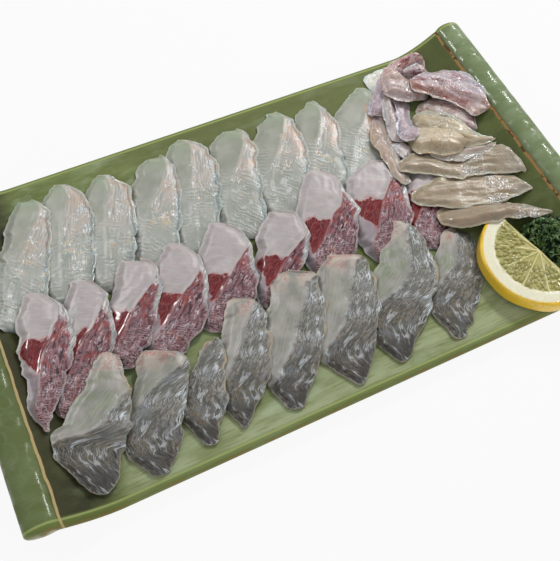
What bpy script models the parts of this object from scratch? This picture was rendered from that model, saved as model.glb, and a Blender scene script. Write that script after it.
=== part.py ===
"""A sashimi platter: a long green plate with raised, rolled ends, three shingled rows of sliced fish,
a heap of fin muscle and skin at one end, half a slice of lemon and a tuft of parsley.

X runs along the plate, Y from its front edge to its back edge and Z up. The origin lies under the
middle of the plate, on the surface that it stands on. All plans below are written in millimetres.
"""

import math
from typing import NamedTuple

import bmesh
import bpy
import numpy as np
from mathutils import Vector, noise
from mathutils.bvhtree import BVHTree

MM = 0.001

# The plate. Its section is the same from the front edge to the back edge.
PLATE_WIDTH = 180.0
FLOOR_Z = 10.0  # where the food lies
UNDER_Z = 3.4  # the underside, above the foot's height
RAMP_START = 117.0  # from the middle to where the floor begins to rise
RAMP_END = 143.0  # the scored line between ramp and roll
RAMP_RISE = 12.0
RAMP_POWER = 1.7  # 1 is a straight ramp, more is hollow
RAMP_THICKENING = 1.2  # more clay under the top of a ramp
RAMP_STEPS = 6
ROLL_CENTRE = (151.0, 20.9)
ROLL_HALF = (7.8, 5.6)
ROLL_TURNS = range(162, -127, -18)  # degrees round the roll, from the scored line to the underside
EDGE_ROUND = 2.8
ROLL_CORNER = 5.5  # more rounding at each end of a roll
FOOT_LENGTH = 232.0
FOOT_WIDTH = 128.0
FOOT_BAND = 9.0
FOOT_CORNER = 18.0

# How pieces lie on each other.
GAP = 0.45  # kept between any two pieces
FEEL = 1.0  # a support is felt this far to each side
FINE = 5  # points looked at along each side of a face
SETTLE_PASSES = 14
LIFT_PASSES = 60
WOBBLE = 0.16  # a side's reach varies by this share along the piece
BLUNT = 0.015  # each end stops this share short, so that no face shrinks to a line

LEMON_RADIUS = 30.0
LEMON_THICK = 9.0
LEMON_CENTRE = (115.2, -62.0)
LEMON_TURN = 15.0
LEMON_TILT = -2.6  # its cut side lies up on the ramp
LEMON_ROUND = 1.6

PARSLEY_CENTRE = (127.0, -59.0)
PARSLEY_REACH = (16.0, 18.0, 12.0)
PARSLEY_RIPPLE = 0.16  # its outline swells and shrinks by this share
PARSLEY_OFF_CUT = 2.0  # from the lemon's cut side
PARSLEY_EDGE = 1.2  # the least thickness, at its outline
PARSLEY_TURNS = 28
PARSLEY_RINGS = 6


class Side(NamedTuple):
    """One side of a piece in plan."""

    reach: float  # from the axis, where the piece is widest
    peak: float  # where along the axis that is
    foot: float  # the curve from the foot: 0.5 is round, 1 pointed
    tip: float  # the curve to the tip: 0.25 is blunt, 0.5 round, 1 pointed
    swell: float = 2.0  # 2 is a smooth peak, 1 a corner


class Piece(NamedTuple):
    """One soft piece in plan, about its axis from foot to tip."""

    foot: tuple
    tip: tuple
    left: Side
    right: Side
    bend: float = 0.0  # the axis bows this far to its left
    thick: float = 3.4
    edge: float = 1.0  # thickness along the right side, past the ridge
    ridge: tuple = (-0.75, 0.45)  # the ridge's place across the piece, at its foot and at its tip


def back(foot, tip, left, right, left_tip=0.65, right_tip=0.9, right_peak=0.72):
    """A slice of white fish, skin side to the right. Its lower end is hidden."""
    return Piece(foot, tip, Side(left, 0.5, 0.2, left_tip), Side(right, right_peak, 0.25, right_tip),
                 thick=3.0, ridge=(-0.8, 0.35))


def middle(foot, tip, left, right, left_peak=0.35, left_tip=0.6, right_peak=0.6, right_foot=0.75,
           right_tip=0.5):
    """A thicker slice with a dark red line through it."""
    return Piece(foot, tip, Side(left, left_peak, 0.6, left_tip),
                 Side(right, right_peak, right_foot, right_tip),
                 thick=4.2, ridge=(-0.6, 0.5))


def front(foot, tip, left, right, left_peak=0.25, left_tip=0.6, left_swell=1.0,
          right_peak=0.5, right_tip=0.3, right_foot=0.6):
    """A slice with grey skin, its lower left side cut off straight."""
    return Piece(foot, tip, Side(left, left_peak, 1.0, left_tip, left_swell),
                 Side(right, right_peak, right_foot, right_tip, 1.0), thick=3.2, ridge=(-0.85, 0.4))


# The three rows, each from the left. They're laid from the right-hand end.
BACK_ROW = [
    back((-135, 2), (-111, 77), 10, 15, right_tip=0.45),
    back((-111, 8), (-91, 80), 12, 16, left_tip=0.45),
    back((-87, 8), (-68, 77), 12, 14, left_tip=0.45),
    back((-61, 8), (-40, 77), 15, 12, right_tip=0.45),
    back((-41, 8), (-21, 82), 11, 15, left_tip=0.45),
    back((-13, 8), (6, 78), 16, 11, left_tip=0.5, right_tip=0.5),
    back((13, 8), (32, 80), 20, 13, left_tip=1.1, right_tip=0.7),
    back((37, 8), (57, 79), 17, 10, left_tip=0.9),
    back((65, 10), (88, 77), 23, 11, left_tip=1.3, right_tip=0.7),
]
MIDDLE_ROW = [
    middle((-136, -50), (-122, 20), 8.5, 16, left_peak=0.6, right_peak=0.66, right_foot=2.0, right_tip=0.7),
    middle((-127, -46), (-100, 20), 9, 18),
    middle((-96, -33), (-74, 20), 10, 16, right_tip=0.4),
    middle((-80, -37), (-51, 21), 11, 20, right_peak=0.5),
    middle((-50, -33), (-26, 23), 10, 21, right_peak=0.55),
    middle((-21, -32), (4, 17), 9, 17, right_peak=0.66, right_tip=0.4),
    middle((11, -28), (35, 32), 13, 20, right_peak=0.4, right_tip=0.6),
    middle((44, -33), (72, 25), 19, 14, left_peak=0.6, right_peak=0.45, right_tip=0.7),
    middle((72, -36), (94, 14), 15, 13),
]
FRONT_ROW = [
    front((-126, -83), (-103, -21), 23, 14, left_peak=0.31, left_tip=1.3),
    front((-101, -85), (-77, -31), 14, 14, left_peak=0.15, left_tip=0.15, right_peak=0.88, right_foot=0.38),
    front((-75, -82), (-54, -34), 13, 8, left_tip=0.8),
    front((-58, -81), (-31, -22), 12, 13, left_tip=0.2),
    front((-33, -83), (1, -20), 18, 15, left_tip=0.25, right_peak=0.62),
    front((0, -85), (27, -20), 20, 15, left_tip=0.22, right_foot=0.8, right_peak=0.6),
    front((25, -84), (60, -14), 17, 21, left_tip=1.35, left_swell=2.0, right_peak=0.66, right_foot=0.85,
          right_tip=0.6),
    front((56, -84), (90, -30), 16, 12, left_tip=0.3),
]


class Strip(NamedTuple):
    """One limp, even piece in plan, with a bent outline told off a straight line from foot to tip."""

    foot: tuple
    tip: tuple
    left: tuple  # how far the left side stands off the line at each of STRIP_SHARES
    right: tuple  # the right side, less than 0 where it has crossed the line
    thick: float
    edge: float = 1.2
    ridge: tuple = (0.0, 0.0)


STRIP_SHARES = (0, 0.08, 0.25, 0.42, 0.58, 0.75, 0.92, 1)

# The heap at the right-hand end, from the bottom up.
HEAP = {
    "strip_left": Strip((74, 3), (90, 54), (2, 5, 7, 9, 8, 5), (3, 4, 5, 5, 5, 5), 2.2),
    "fin_front": Strip((80, -20), (137, -45), (5, 8, 9.5, 9.5, 8, 4), (5.5, 7.5, 6.5, 4.5, 2, 0), 2.8),
    "fin_middle": Strip((73, -5), (137, -28), (5, 12, 13, 14.5, 14, 8), (2.5, 7, 8, 5.5, 2.5, 0.5), 2.8),
    "fin_back": Strip((75, 14), (138, -19), (8, 14, 12, 15, 19, 17), (1.5, 0.5, 2.5, 0.5, -2.5, -3.5), 2.8),
    "crest_scrap": Strip((94, 69), (111, 83), (4, 8, 8, 6, 4, 1.5), (2, 3, 4, 4, 3, 2), 1.8),
    "crest_back": Strip((101, 70), (131, 80), (5, 8, 9, 9, 7, 4), (3, 2.5, 2, 2, 3.5, 4.5), 7.0),
    "crest_fold": Strip((113, 73), (128, 67), (1, 2.5, 4, 5, 5, 4.5), (2, 4, 4, 4, 3.5, 1), 5.0),
    "shred_left": Strip((83, 19), (94, 27), (3, 6, 8, 8, 7, 5), (1, 2, 3, 3.5, 4, 2), 2.0),
    "wing_lower": Strip((111, 51), (132, 20), (8, 12, 14, 12, 8, 4), (5, 7, 7, 7, 6.5, 4.5), 3.0),
    "flap": Strip((97, 18), (135, 7), (3, 5, 6, 4, 2.5, 1.5), (3, 7.5, 8.5, 7.5, 5, 3), 2.2),
    "band": Strip((103, 44), (135, 8), (5, 8, 8, 4.5, -1, 0), (8, 8, 9, 10, 9.5, 6), 2.8),
    "bulge": Strip((94, 33), (119, 12), (5.5, 6.5, 7, 6.5, 5.5, 3), (8, 12, 12.5, 11, 9.5, 6), 6.0),
    "lobe_left": Strip((82, 52), (106, 78), (3, 3, 2.5, 2, 1.5, 0.5), (6, 8, 8, 7, 6, 4), 4.2),
    "ribbon_left": Strip((86, 29), (101, 60), (2.5, 5, 6, 6.5, 7, 6), (2, 2.5, 1, -0.5, -1.5, -0.5), 2.6),
    "ribbon_right": Strip((88, 26), (108, 57), (4.5, 4, 4, 5, 7.5, 8), (5, 5, 2, 1, 1, 0.5), 2.8),
    "dome": Strip((92, 61), (121, 55), (8, 11, 11.5, 10, 7, 3), (4, 5.5, 6, 5, 4, 3), 4.4),
    "wing_upper": Strip((112, 65), (143, 27), (7, 13, 16, 15, 10.5, 4), (6, 5, 3, 3.5, 5, 9), 3.2),
}

SLICE_ROWS = 9
SLICE_COLUMNS = 4
HEAP_ROWS = 9
HEAP_COLUMNS = 4

PLATTER = bpy.data.collections.new("sashimi_platter")
CUTTERS = bpy.data.collections.new("cutters")


def clear_scene():
    for thing in list(bpy.data.objects):
        bpy.data.objects.remove(thing, do_unlink=True)
    for group in (PLATTER, CUTTERS):
        bpy.context.scene.collection.children.link(group)


def material(name, colour, roughness):
    made = bpy.data.materials.new(name)
    made.use_nodes = True
    shader = made.node_tree.nodes["Principled BSDF"]
    shader.inputs["Base Color"].default_value = (*colour, 1.0)
    shader.inputs["Roughness"].default_value = roughness
    return made


def add_object(name, mesh, finish, group=PLATTER):
    thing = bpy.data.objects.new(name, mesh)
    mesh.materials.append(finish)
    group.objects.link(thing)
    return thing


def mesh_of(curve_object):
    """The curve object's shape as a mesh with its caps welded on, in place of the curve."""
    bpy.context.view_layer.update()
    evaluated = curve_object.evaluated_get(bpy.context.evaluated_depsgraph_get())
    mesh = bpy.data.meshes.new_from_object(evaluated)
    mesh.transform(curve_object.matrix_world)
    shape = bmesh.new()
    shape.from_mesh(mesh)
    bmesh.ops.remove_doubles(shape, verts=shape.verts, dist=0.01 * MM)
    bmesh.ops.recalc_face_normals(shape, faces=shape.faces)
    shape.to_mesh(mesh)
    shape.free()
    bpy.data.objects.remove(curve_object)
    return mesh


def flat_curve(name, outlines, half_depth, rounding):
    """A 2D curve object of closed outlines in millimetres, filled and extruded to both sides."""
    curve = bpy.data.curves.new(name, "CURVE")
    curve.dimensions = "2D"
    curve.fill_mode = "BOTH"
    curve.extrude = (half_depth - rounding) * MM
    curve.bevel_depth = rounding * MM
    curve.bevel_resolution = 1
    curve.offset = -rounding * MM
    for points in outlines:
        spline = curve.splines.new("POLY")
        spline.use_cyclic_u = True
        spline.points.add(len(points) - 1)
        for point, (x, y) in zip(spline.points, points):
            point.co = (x * MM, y * MM, 0.0, 1.0)
    thing = bpy.data.objects.new(name, curve)
    CUTTERS.objects.link(thing)
    return thing


def plate_half_section():
    """The right half of the plate's section, from the middle of the floor round to the middle underneath."""
    rise = [i / RAMP_STEPS for i in range(RAMP_STEPS + 1)]
    span = RAMP_END - RAMP_START
    ramp = [(RAMP_START + span * t, FLOOR_Z + RAMP_RISE * t**RAMP_POWER) for t in rise]
    turns = [math.radians(a) for a in ROLL_TURNS]
    roll = [(ROLL_CENTRE[0] + ROLL_HALF[0] * math.cos(a), ROLL_CENTRE[1] + ROLL_HALF[1] * math.sin(a))
            for a in turns]
    under_depth = FLOOR_Z - UNDER_Z
    under = [(x, z - under_depth - RAMP_THICKENING * t) for (x, z), t in zip(ramp, rise)]
    return ramp + roll + under[-2:0:-1] + [(RAMP_START, UNDER_Z)]


def rounded_rectangle(length, width, corner, steps=4):
    points = []
    for quarter in range(4):
        sign_x = 1 if quarter in (0, 3) else -1
        sign_y = 1 if quarter in (0, 1) else -1
        for step in range(steps + 1):
            a = math.radians(90 * (quarter + step / steps))
            x = sign_x * (length / 2 - corner) + corner * math.cos(a)
            y = sign_y * (width / 2 - corner) + corner * math.sin(a)
            points.append((x, y))
    return points


def make_plate(finish):
    half = plate_half_section()
    section = half + [(-x, z) for x, z in reversed(half)]
    body_curve = flat_curve("plate_section", [section], PLATE_WIDTH / 2, EDGE_ROUND)
    body_curve.rotation_euler = (math.radians(90), 0, 0)
    plate = add_object("plate", mesh_of(body_curve), finish)
    for vertex in plate.data.vertices:
        near_end = max(0.0, 1 - (PLATE_WIDTH / 2 * MM - abs(vertex.co.y)) / (EDGE_ROUND * MM)) ** 2
        outward = max(0.0, abs(vertex.co.x) / MM - RAMP_END) / (ROLL_CENTRE[0] + ROLL_HALF[0] - RAMP_END)
        vertex.co.x -= math.copysign(ROLL_CORNER * MM * near_end * outward, vertex.co.x)
    overlap = 1.0
    height = UNDER_Z + overlap
    outer = rounded_rectangle(FOOT_LENGTH, FOOT_WIDTH, FOOT_CORNER)
    inner = rounded_rectangle(FOOT_LENGTH - 2 * FOOT_BAND, FOOT_WIDTH - 2 * FOOT_BAND,
                              FOOT_CORNER - FOOT_BAND)
    foot_curve = flat_curve("foot_ring", [outer, inner], height / 2, 0.0)
    foot_curve.location = (0, 0, height / 2 * MM)
    foot = add_object("foot_ring", mesh_of(foot_curve), finish, CUTTERS)
    foot.hide_render = True
    foot.display_type = "WIRE"
    join = plate.modifiers.new("foot", "BOOLEAN")
    join.operation = "UNION"
    join.object = foot
    return plate


class Table:
    """What lies on the plate so far, as trees that can be felt from above."""

    def __init__(self):
        self.trees = []

    def add(self, thing):
        bpy.context.view_layer.update()
        evaluated = thing.evaluated_get(bpy.context.evaluated_depsgraph_get())
        mesh = evaluated.to_mesh()
        shape = bmesh.new()
        shape.from_mesh(mesh)
        shape.transform(thing.matrix_world)
        places = np.array([vertex.co[:2] for vertex in shape.verts])
        self.trees.append((places.min(0) - FEEL * MM, places.max(0) + FEEL * MM, BVHTree.FromBMesh(shape)))
        shape.free()
        evaluated.to_mesh_clear()

    def height(self, x, y):
        """The height of the topmost surface at a place or just beside it, in millimetres."""
        top = FLOOR_Z
        down = Vector((0, 0, -1))
        for low, high, tree in self.trees:
            if not (low[0] <= x * MM <= high[0] and low[1] <= y * MM <= high[1]):
                continue
            for dx, dy in ((0, 0), (FEEL, 0), (-FEEL, 0), (0, FEEL), (0, -FEEL)):
                hit = tree.ray_cast(Vector(((x + dx) * MM, (y + dy) * MM, 1.0)), down)[0]
                if hit is not None:
                    top = max(top, hit.z / MM)
        return top


def side_reach(side, share):
    """How far a side reaches at a share of the axis, down to nothing at either end."""
    if share < side.peak:
        return side.reach * (1 - (1 - share / side.peak) ** side.swell) ** side.foot
    return side.reach * (1 - ((share - side.peak) / (1 - side.peak)) ** side.swell) ** side.tip


def sides_at(piece, share):
    """Where a piece's middle line lies off its axis, to the left, and how far each side reaches from it."""
    if isinstance(piece, Strip):
        left, right = (np.interp(share, STRIP_SHARES, (0, *side, 0)) for side in (piece.left, piece.right))
        return (left - right) / 2, (left + right) / 2, (left + right) / 2
    return piece.bend * 4 * share * (1 - share), side_reach(piece.left, share), side_reach(piece.right, share)


def plan_of(piece, rows, columns):
    """Places in plan, and the share of full thickness, for a grid of rows by columns."""
    foot, tip = np.array(piece.foot, float), np.array(piece.tip, float)
    along = tip - foot
    length = np.linalg.norm(along)
    leftward = np.array((-along[1], along[0])) / length
    places = np.zeros((rows + 1, columns + 1, 2))
    body = np.zeros((rows + 1, columns + 1))
    for i in range(rows + 1):
        share = BLUNT + (1 - 2 * BLUNT) * (1 - math.cos(math.pi * i / rows)) / 2
        middle_off, *reaches = sides_at(piece, share)
        middle_line = foot + along * share + leftward * middle_off
        ridge = piece.ridge[0] + (piece.ridge[1] - piece.ridge[0]) * share
        for j in range(columns + 1):
            part = 2 * j / columns - 1
            across = -1 + (part + 1) * (ridge + 1) if part < 0 else ridge + part * (1 - ridge)
            uneven = 1 + WOBBLE * noise.noise(Vector((foot[0] / 9, 5 * share, 3 * (across > 0))))
            places[i, j] = middle_line - leftward * across * reaches[across > 0] * uneven
            fall = max(0.0, part) if piece.ridge != (0.0, 0.0) else part**2
            body[i, j] = 1 - fall
    return places, body


def face_weights(rows, columns):
    """Each row of the matrix reads one point of the triangulated grid from the grid's corners."""
    table = []
    count = columns + 1
    steps = [k / FINE for k in range(FINE + 1)]
    for i in range(rows):
        for j in range(columns):
            for a in steps:
                for b in steps:
                    row = np.zeros((rows + 1) * count)
                    row[i * count + j] = 1 - max(a, b)
                    row[(i + 1) * count + j + 1] = min(a, b)
                    other = (i + 1) * count + j if a >= b else i * count + j + 1
                    row[other] += abs(a - b)
                    table.append(row)
    return np.array(table)


def smoothed(heights):
    """Each height moved halfway to the mean of its neighbours, with free edges."""
    padded = np.pad(heights, 1, mode="edge")
    near = padded[:-2, 1:-1] + padded[2:, 1:-1] + padded[1:-1, :-2] + padded[1:-1, 2:]
    return heights / 2 + near / 8


def lying_heights(places, table):
    """The underside's heights: a soft sheet let down onto the pile, which it follows but never enters."""
    rows, columns = places.shape[0] - 1, places.shape[1] - 1
    weights = face_weights(rows, columns)
    felt_at = weights @ places.reshape(-1, 2)
    under = np.array([table.height(x, y) for x, y in felt_at]) + GAP
    heights = np.full(places.shape[:2], FLOOR_Z + GAP)

    def lifted_clear(grid):
        flat = grid.reshape(-1)
        for _ in range(LIFT_PASSES):
            lack = under - weights @ flat
            if lack.max() <= 1e-4:
                break
            flat = flat + (weights * np.maximum(lack, 0)[:, None]).max(axis=0)
        return flat.reshape(grid.shape)

    for _ in range(SETTLE_PASSES):
        heights = lifted_clear(smoothed(heights))
    return heights


def make_soft_piece(name, piece, table, finish, rows, columns):
    """A closed sheet whose underside lies on the pile, with vertical cut sides."""
    places, body = plan_of(piece, rows, columns)
    under = lying_heights(places, table)
    over = under + piece.edge + (piece.thick - piece.edge) * body
    shape = bmesh.new()
    layers = []
    for heights in (under, over):
        layer = [[shape.verts.new((x * MM, y * MM, z * MM)) for (x, y), z in zip(*line)]
                 for line in zip(places, heights)]
        layers.append(layer)
    low, high = layers
    for i in range(rows):
        for j in range(columns):
            for layer in layers:
                here, right = layer[i][j], layer[i][j + 1]
                up, far = layer[i + 1][j], layer[i + 1][j + 1]
                shape.faces.new((here, right, far))
                shape.faces.new((here, far, up))
    loop = [(i, 0) for i in range(rows)] + [(rows, j) for j in range(columns)]
    loop += [(i, columns) for i in range(rows, 0, -1)] + [(0, j) for j in range(columns, 0, -1)]
    for (i, j), (k, m) in zip(loop, loop[1:] + loop[:1]):
        shape.faces.new((low[i][j], low[k][m], high[k][m], high[i][j]))
    bmesh.ops.recalc_face_normals(shape, faces=shape.faces)
    mesh = bpy.data.meshes.new(name)
    shape.to_mesh(mesh)
    shape.free()
    thing = add_object(name, mesh, finish)
    table.add(thing)


def make_row(name, row, table, finish):
    """Laid from the right, so that each slice's right side lies on the next one's left side."""
    for number in range(len(row), 0, -1):
        make_soft_piece(f"{name}_{number}", row[number - 1], table, finish, SLICE_ROWS, SLICE_COLUMNS)


def make_lemon(table, finish):
    """Half a round slice, cut side to the right."""
    shape = bmesh.new()
    bmesh.ops.create_cone(shape, cap_ends=True, segments=48, radius1=LEMON_RADIUS * MM,
                          radius2=LEMON_RADIUS * MM, depth=LEMON_THICK * MM)
    cut = bmesh.ops.bisect_plane(shape, geom=shape.verts[:] + shape.edges[:] + shape.faces[:],
                                 plane_co=(0, 0, 0), plane_no=(1, 0, 0), clear_outer=True)
    bmesh.ops.edgeloop_fill(shape, edges=[e for e in cut["geom_cut"] if isinstance(e, bmesh.types.BMEdge)])
    rims = [e for e in shape.edges if e.is_manifold and abs(e.verts[0].co.z - e.verts[1].co.z) < 1e-6
            and all(abs(v.co.xy.length - LEMON_RADIUS * MM) < 1e-5 for v in e.verts)
            and e.calc_face_angle() > 1]
    bmesh.ops.bevel(shape, geom=rims, offset=LEMON_ROUND * MM, segments=2, affect="EDGES")
    bmesh.ops.recalc_face_normals(shape, faces=shape.faces)
    mesh = bpy.data.meshes.new("lemon")
    shape.to_mesh(mesh)
    shape.free()
    lemon = add_object("lemon", mesh, finish)
    lemon.location = (LEMON_CENTRE[0] * MM, LEMON_CENTRE[1] * MM, 0)
    lemon.rotation_euler = (0, math.radians(LEMON_TILT), math.radians(LEMON_TURN))
    bpy.context.view_layer.update()
    corners = [lemon.matrix_world @ vertex.co for vertex in mesh.vertices if vertex.co.z < 0]
    lemon.location.z = max(table.height(c.x / MM, c.y / MM) + GAP - c.z / MM for c in corners) * MM
    table.add(lemon)


def make_parsley(table, finish):
    """A tuft out to its uneven outline, standing on the plate, with one side along the lemon's cut side."""
    centre = Vector(PARSLEY_CENTRE)
    to_lemon = -Vector((math.cos(math.radians(LEMON_TURN)), math.sin(math.radians(LEMON_TURN))))
    room = (Vector(LEMON_CENTRE) - centre).dot(to_lemon) - PARSLEY_OFF_CUT
    long, deep, high = PARSLEY_REACH
    shape = bmesh.new()

    def pair(turn, share):
        """A point of the foot and the point of the leaves above it."""
        way = Vector((math.cos(turn), math.sin(turn)))
        spot = Vector((*way * share, math.sqrt(1 - share * share)))
        ripple = 1 + PARSLEY_RIPPLE * noise.noise(spot * 2.6 + Vector((3.0, 1.0, 7.0)))
        reach = ripple / math.hypot(way.x / long, way.y / deep)
        if way.dot(to_lemon) > 0:
            reach = min(reach, room / way.dot(to_lemon))
        x, y = centre + way * reach * share
        under = table.height(x, y) + GAP
        over = max(FLOOR_Z + high * ripple * spot.z, under + PARSLEY_EDGE)
        return [shape.verts.new((x * MM, y * MM, z * MM)) for z in (under, over)]

    turns = [2 * math.pi * i / PARSLEY_TURNS for i in range(PARSLEY_TURNS)]
    middle = pair(0.0, 0.0)
    rings = [[pair(turn, ring / PARSLEY_RINGS) for turn in turns] for ring in range(1, PARSLEY_RINGS + 1)]
    for i in range(PARSLEY_TURNS):
        for layer in (0, 1):
            shape.faces.new((middle[layer], rings[0][i - 1][layer], rings[0][i][layer]))
            for near, far in zip(rings, rings[1:]):
                shape.faces.new((near[i - 1][layer], far[i - 1][layer], far[i][layer]))
                shape.faces.new((near[i - 1][layer], far[i][layer], near[i][layer]))
        shape.faces.new((*rings[-1][i - 1], *reversed(rings[-1][i])))
    bmesh.ops.recalc_face_normals(shape, faces=shape.faces)
    mesh = bpy.data.meshes.new("parsley")
    shape.to_mesh(mesh)
    shape.free()
    table.add(add_object("parsley", mesh, finish))


def main():
    clear_scene()
    glaze = material("green_glaze", (0.33, 0.42, 0.16), 0.18)
    white_fish = material("white_fish", (0.62, 0.65, 0.58), 0.3)
    red_fish = material("red_fish", (0.55, 0.33, 0.32), 0.3)
    grey_fish = material("grey_skin_fish", (0.4, 0.4, 0.36), 0.3)
    skin = material("fish_skin", (0.55, 0.46, 0.4), 0.3)
    rind = material("lemon_rind", (0.85, 0.68, 0.12), 0.4)
    leaf = material("parsley_leaf", (0.06, 0.2, 0.05), 0.5)
    table = Table()
    table.add(make_plate(glaze))
    make_row("back_slice", BACK_ROW, table, white_fish)
    make_row("middle_slice", MIDDLE_ROW, table, red_fish)
    make_row("front_slice", FRONT_ROW, table, grey_fish)
    make_lemon(table, rind)
    make_parsley(table, leaf)
    for name, piece in HEAP.items():
        make_soft_piece(name, piece, table, skin, HEAP_ROWS, HEAP_COLUMNS)


main()
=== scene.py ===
# %% [markdown]
# # A platter of sashimi
#
# A long green stoneware plate with a roll at each end carries three shingled rows of sliced fish, a heap of
# fin muscle and skin, half a slice of lemon and a tuft of curly parsley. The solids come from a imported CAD
# model, which is loaded first and never moved. Everything here is looks: finer skins over those solids, and
# the finish of each surface. All sizes are written in millimetres and turned into metres where a mesh is made.

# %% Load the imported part
import math
from typing import NamedTuple

import bmesh
import bpy
import numpy as np
from mathutils import Euler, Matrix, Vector
from mathutils.bvhtree import BVHTree

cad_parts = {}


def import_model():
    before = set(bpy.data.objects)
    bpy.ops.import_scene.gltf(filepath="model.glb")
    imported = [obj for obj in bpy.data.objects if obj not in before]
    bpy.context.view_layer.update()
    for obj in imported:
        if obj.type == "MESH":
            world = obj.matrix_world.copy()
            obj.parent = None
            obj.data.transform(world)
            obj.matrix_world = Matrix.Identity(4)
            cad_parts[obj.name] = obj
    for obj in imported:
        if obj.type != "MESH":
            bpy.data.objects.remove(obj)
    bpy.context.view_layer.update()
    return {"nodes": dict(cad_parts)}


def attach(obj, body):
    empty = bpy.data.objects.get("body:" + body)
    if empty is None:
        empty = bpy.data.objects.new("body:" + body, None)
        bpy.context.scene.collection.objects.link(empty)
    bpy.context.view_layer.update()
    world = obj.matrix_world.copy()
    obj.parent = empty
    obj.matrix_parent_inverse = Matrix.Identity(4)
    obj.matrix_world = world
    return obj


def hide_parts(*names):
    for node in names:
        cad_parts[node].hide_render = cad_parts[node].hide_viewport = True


MM = 0.001
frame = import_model()


def show(name, data):
    """A new object in the scene."""
    thing = bpy.data.objects.new(name, data)
    bpy.context.scene.collection.objects.link(thing)
    return thing

# %% [markdown]
# ## Camera, floor and light
#
# The camera stands in front of the left-hand end and looks down at about 62 degrees. The floor is a pale
# sheet, and one small soft lamp stands behind the right-hand end, so that the shadows of the slices fall
# thin and dark to the lower left. A weaker lamp and an even sky fill them in. Two more lamps light nothing and
# are only mirrored: they give the glaze its short bright dashes and the fish its wet glints.

# %% Camera
LENS = 49.74
CAMERA_PLACE = (-103.76, -174.67, 353.21)
CAMERA_TURN = (0.4866, -0.0518, -0.4469)

camera = show("camera", bpy.data.cameras.new("camera"))
camera.data.lens = LENS
camera.data.sensor_width = 36.0
camera.data.clip_start = 0.01
camera.location = Vector(CAMERA_PLACE) * MM
camera.rotation_euler = CAMERA_TURN
bpy.context.scene.camera = camera
bpy.context.scene.view_settings.view_transform = "Standard"
print("camera at", [round(v, 3) for v in camera.location], "lens", LENS)

# %% Colours and a short way to write a material
def tint(red, green, blue):
    """A colour given as it looks on a screen, 0 to 255, as the linear values that a shader takes."""
    def linear(value):
        value /= 255
        return value / 12.92 if value < 0.04 else ((value + 0.055) / 1.055) ** 2.4
    return (linear(red), linear(green), linear(blue), 1.0)


def feed(tree, socket, value):
    """Links an output to a socket, or sets the socket to a plain value. A colour is given as tint takes it."""
    value = getattr(value, "socket", value)
    if isinstance(value, bpy.types.NodeSocket):
        tree.links.new(value, socket)
    else:
        socket.default_value = tint(*value) if socket.type == "RGBA" else value


def add_node(tree, kind, inputs=(), **settings):
    node = tree.nodes.new(kind)
    for key, value in settings.items():
        setattr(node, key, value)
    for key, value in dict(inputs).items():
        feed(tree, node.inputs[key], value)
    return node


class Field:
    """A value that varies over a surface. It adds, multiplies and steps as a number would."""

    def __init__(self, tree, socket):
        self.tree, self.socket = tree, socket

    def maths(self, operation, *others):
        node = add_node(self.tree, "ShaderNodeMath", enumerate((self, *others)), operation=operation)
        return Field(self.tree, node.outputs[0])

    def __add__(self, other):
        return self.maths("ADD", other)

    def __sub__(self, other):
        return self.maths("SUBTRACT", other)

    def __mul__(self, other):
        return self.maths("MULTIPLY", other)

    def __abs__(self):
        return self.maths("ABSOLUTE")

    def most(self, other):
        return self.maths("MAXIMUM", other)

    def step(self, low, high):
        """0 below low and 1 above high, with a soft edge between. Low may be the greater one."""
        node = add_node(self.tree, "ShaderNodeMapRange", {"Value": self, "From Min": low, "From Max": high},
                        interpolation_type="SMOOTHSTEP")
        return Field(self.tree, node.outputs[0])

    def thread(self, width):
        """1 on the thin winding lines where soft noise crosses its middle, and 0 between them."""
        return abs(self - 0.5).step(width, width * 0.3)


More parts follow.
